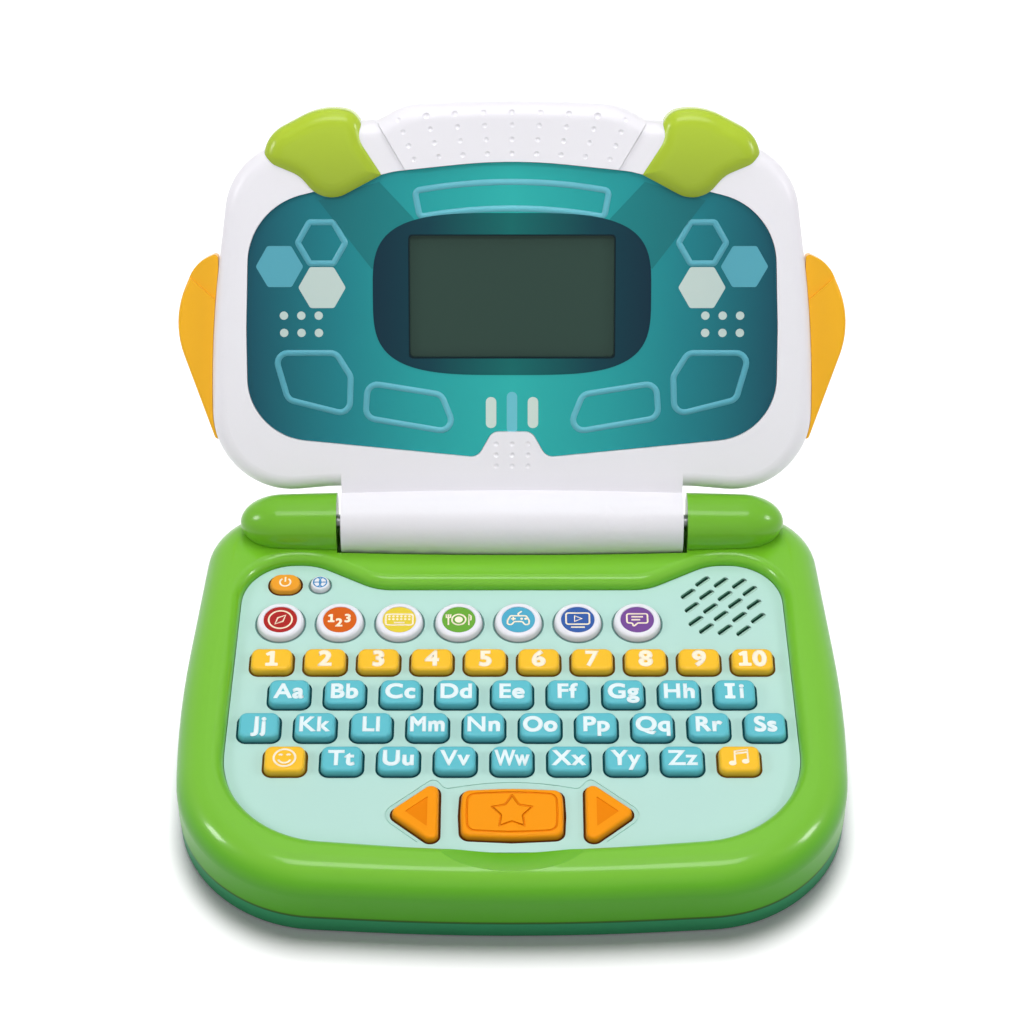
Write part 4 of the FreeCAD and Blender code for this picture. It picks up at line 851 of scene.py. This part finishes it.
def addPrint(name, mesh, finish, place=(0, 0), sign=1, level=1):
    x, y = place
    rise = lidPrint["face"] + level * lidPrint["step"]
    shift = Matrix.Translation((sign * x * mm, y * mm, rise * mm))
    addPiece(name, mesh, lidPlace @ shift, "lid", finish)


def sided(points, sign):
    return [(sign * x, y) for x, y in points]


def outlined(outlines, corner):  # closed lines in the pale blue of the print
    paths = [(softCorners(outline, corner), True) for outline in outlines]
    return strokes(paths, lidPrint["line"], thick, "paleBlue")


window = {"middle": 87.5, "halfX": 39.3, "halfY": 23.7, "corner": 1.5, "fit": 0.02, "wall": 0.5}
surround = {"middle": 88.4, "halfX": 52.8, "halfY": 30.9, "power": 3.6}


def windowEdge(margin):
    edge = boxEdge(0, window["middle"], window["halfX"] - margin, window["halfY"] - margin)
    return softCorners(edge, window["corner"])


rim = superEllipse(0, surround["middle"], surround["halfX"], surround["halfY"], surround["power"])
addPrint("screen_surround", plate(rim, thick, windowEdge(window["fit"])), "surround", level=2)
# painted shade: a dark sheet round the walls of the window, where they fall in shade
wallShadeDepth = lidPrint["face"] - lidPrint["back"]
wallShade = plate(windowEdge(window["fit"]), wallShadeDepth, windowEdge(window["wall"]))
addPrint("window_wall_shade", wallShade, "wallShade", level=-wallShadeDepth / lidPrint["step"])

beam = [(50, 131), (73, 124), (53, 98), (36, 116)]
lowerBands = {"corner": 4.0, "outlines": [[(21, 35), (27, 50), (55, 54.5), (56, 41)],
                                          [(62, 42), (61.5, 57), (67, 66), (90.5, 66), (85.5, 48)]]}
cells = {"radius": 9.0, "corner": 1.2, "filled": (88, 99), "pale": (72, 91), "line": (72, 108)}
printDots = {"columns": 3, "rows": 2, "pitchX": 6.6, "pitchY": 6.6, "radius": 1.6, "place": (80, 77)}
arch = {"middle": -70, "outer": 201, "inner": 191, "start": 79.5, "end": 100.5, "steps": 20, "corner": 3.0}
lowerBars = {"middle": 43, "half": 2, "corner": 1.9,  # each bar is its x, its half length and its finish
             "bars": [(-8, 6, "palePrint"), (0, 8, "paleBlue"), (8, 6, "palePrint")]}
cell = loop(0, 0, cells["radius"], steps=6)
softCell = softCorners(cell, cells["corner"])
for side, sign in (("right", 1), ("left", -1)):
    addPrint("beam_" + side, plate(sided(beam, sign), thick), "beam")
    bands = [sided(band, sign) for band in lowerBands["outlines"]]
    addPrint("lower_bands_" + side, outlined(bands, lowerBands["corner"]), "paleBlue")
    addPrint("cell_filled_" + side, plate(softCell, thick), "paleBlue", cells["filled"], sign)
    addPrint("cell_pale_" + side, plate(softCell, thick), "palePrint", cells["pale"], sign)
    addPrint("cell_line_" + side, outlined([cell], cells["corner"]), "paleBlue", cells["line"], sign)
    mesh = dots(printDots, thick, "palePrint")  # centred on its level, so it goes half a step higher
    addPrint("print_dots_" + side, mesh, "palePrint", printDots["place"], sign, level=1.5)
outerArc = arc(0, arch["middle"], arch["outer"], arch["start"], arch["end"], arch["steps"])
innerArc = arc(0, arch["middle"], arch["inner"], arch["end"], arch["start"], arch["steps"])
addPrint("top_arch", outlined([outerArc + innerArc], arch["corner"]), "paleBlue")
for index, (x, half, finish) in enumerate(lowerBars["bars"]):
    bar = softCorners(boxEdge(x, lowerBars["middle"], lowerBars["half"], half), lowerBars["corner"])
    addPrint("lower_bar_" + str(index + 1), plate(bar, thick), finish)
print("screen print done")

# stage, lights and camera
stageValues = {"floor": 8.0, "floorTint": (250, 250, 251), "floorRoughness": 0.9, "lift": 0.07,
               "liftTint": (1, 0.8, 1, 1), "worldLight": 0.12}


def seenBy(tree):  # 1 on rays that come straight, mirrored or through glass from the camera, otherwise 0
    rays = addNode(tree, "ShaderNodeLightPath")
    seen = addMath(tree, "MAXIMUM", rays.outputs["Is Camera Ray"], rays.outputs["Is Glossy Ray"])
    return addMath(tree, "MAXIMUM", seen, rays.outputs["Is Transmission Ray"])


floorMesh = bpy.data.meshes.new("floor")
reach = stageValues["floor"] / 2
floorMesh.from_pydata([(x, y, 0) for x, y in boxEdge(0, 0, reach, reach)], [], [(0, 1, 2, 3)])
floor = bpy.data.objects.new("floor", floorMesh)
bpy.context.collection.objects.link(floor)
floorMaterial, tree, shader = startMaterial("paleFloor")
setInputs(shader, {"Base Color": colour(*stageValues["floorTint"]), "Specular IOR Level": 0.0,
                   "Roughness": stageValues["floorRoughness"],
                   "Emission Color": stageValues["liftTint"]})  # evens out the green light off the base
strength = addMath(tree, "MULTIPLY", seenBy(tree), stageValues["lift"])
tree.links.new(strength, shader.inputs["Emission Strength"])
floorMesh.materials.append(floorMaterial)

world = bpy.data.worlds.new("studio")
bpy.context.scene.world = world
world.use_nodes = True
sky = world.node_tree
background = sky.nodes["Background"]
background.inputs["Color"].default_value = (1, 1, 1, 1)
worldLight = stageValues["worldLight"]
strength = addMath(sky, "MULTIPLY_ADD", seenBy(sky), 1 - worldLight, worldLight)
sky.links.new(strength, background.inputs["Strength"])

lamps = {  # place, width and depth, watts, what it lights, whether glossy surfaces mirror it
    "topSoftbox": [(0.0, 0.55, 1.25), (0.6, 0.6), 7.2, "both", False],
    "floorSoftbox": [(0.0, 3.0, 7.8), (3.6, 3.6), 580.0, "floor", False],
    "overSoftbox": [(0.0, -0.1, 1.4), (0.9, 0.4), 5.8, "object", True],
    "frontSoftbox": [(0.0, -1.2, 0.9), (0.8, 0.8), 5.0, "object", False],
    "leftSoftbox": [(-1.24, -0.1, 0.8), (0.3, 0.3), 4.5, "object", True],
    "rightSoftbox": [(1.24, -0.1, 0.8), (0.3, 0.3), 4.5, "object", True],
}
lampAim = Vector((0, 0.05, 0.04))
receivers = {}
for target, state in (("floor", "INCLUDE"), ("object", "EXCLUDE")):  # the floor alone, or all but the floor
    receivers[target] = bpy.data.collections.new(target + "Light")
    receivers[target].objects.link(floor)
    receivers[target].collection_objects[0].light_linking.link_state = state
shading = bpy.data.collections.new("floorShading")
for name in ("base_upper_shell", "base_lower_shell"):
    shading.objects.link(nodes[name])
for name, (place, (width, depth), watts, target, mirrored) in lamps.items():
    data = bpy.data.lights.new(name, "AREA")
    data.shape = "RECTANGLE"
    data.size = width
    data.size_y = depth
    data.energy = watts
    light = bpy.data.objects.new(name, data)
    light.location = place
    light.rotation_euler = (lampAim - Vector(place)).to_track_quat("-Z", "Y").to_euler()
    light.visible_glossy = mirrored
    bpy.context.collection.objects.link(light)
    light.light_linking.receiver_collection = receivers.get(target)
    if target == "floor":  # only the base shades the floor from this lamp, not the raised lid
        light.light_linking.blocker_collection = shading

view = {"target": (0, 0.08283, 0.035), "elevation": 46.5, "distance": 1.155, "lens": 105, "sensor": 36}
camera = bpy.data.objects.new("camera", bpy.data.cameras.new("camera"))
camera.data.lens = view["lens"]
camera.data.sensor_width = view["sensor"]
elevation = math.radians(view["elevation"])
away = Vector((0, -math.cos(elevation), math.sin(elevation)))
camera.location = Vector(view["target"]) + view["distance"] * away
camera.rotation_euler = (math.pi / 2 - elevation, 0, 0)
bpy.context.collection.objects.link(camera)
bpy.context.scene.camera = camera
bpy.context.scene.view_settings.view_transform = "Standard"
print("stage done")

bpy.context.view_layer.update()
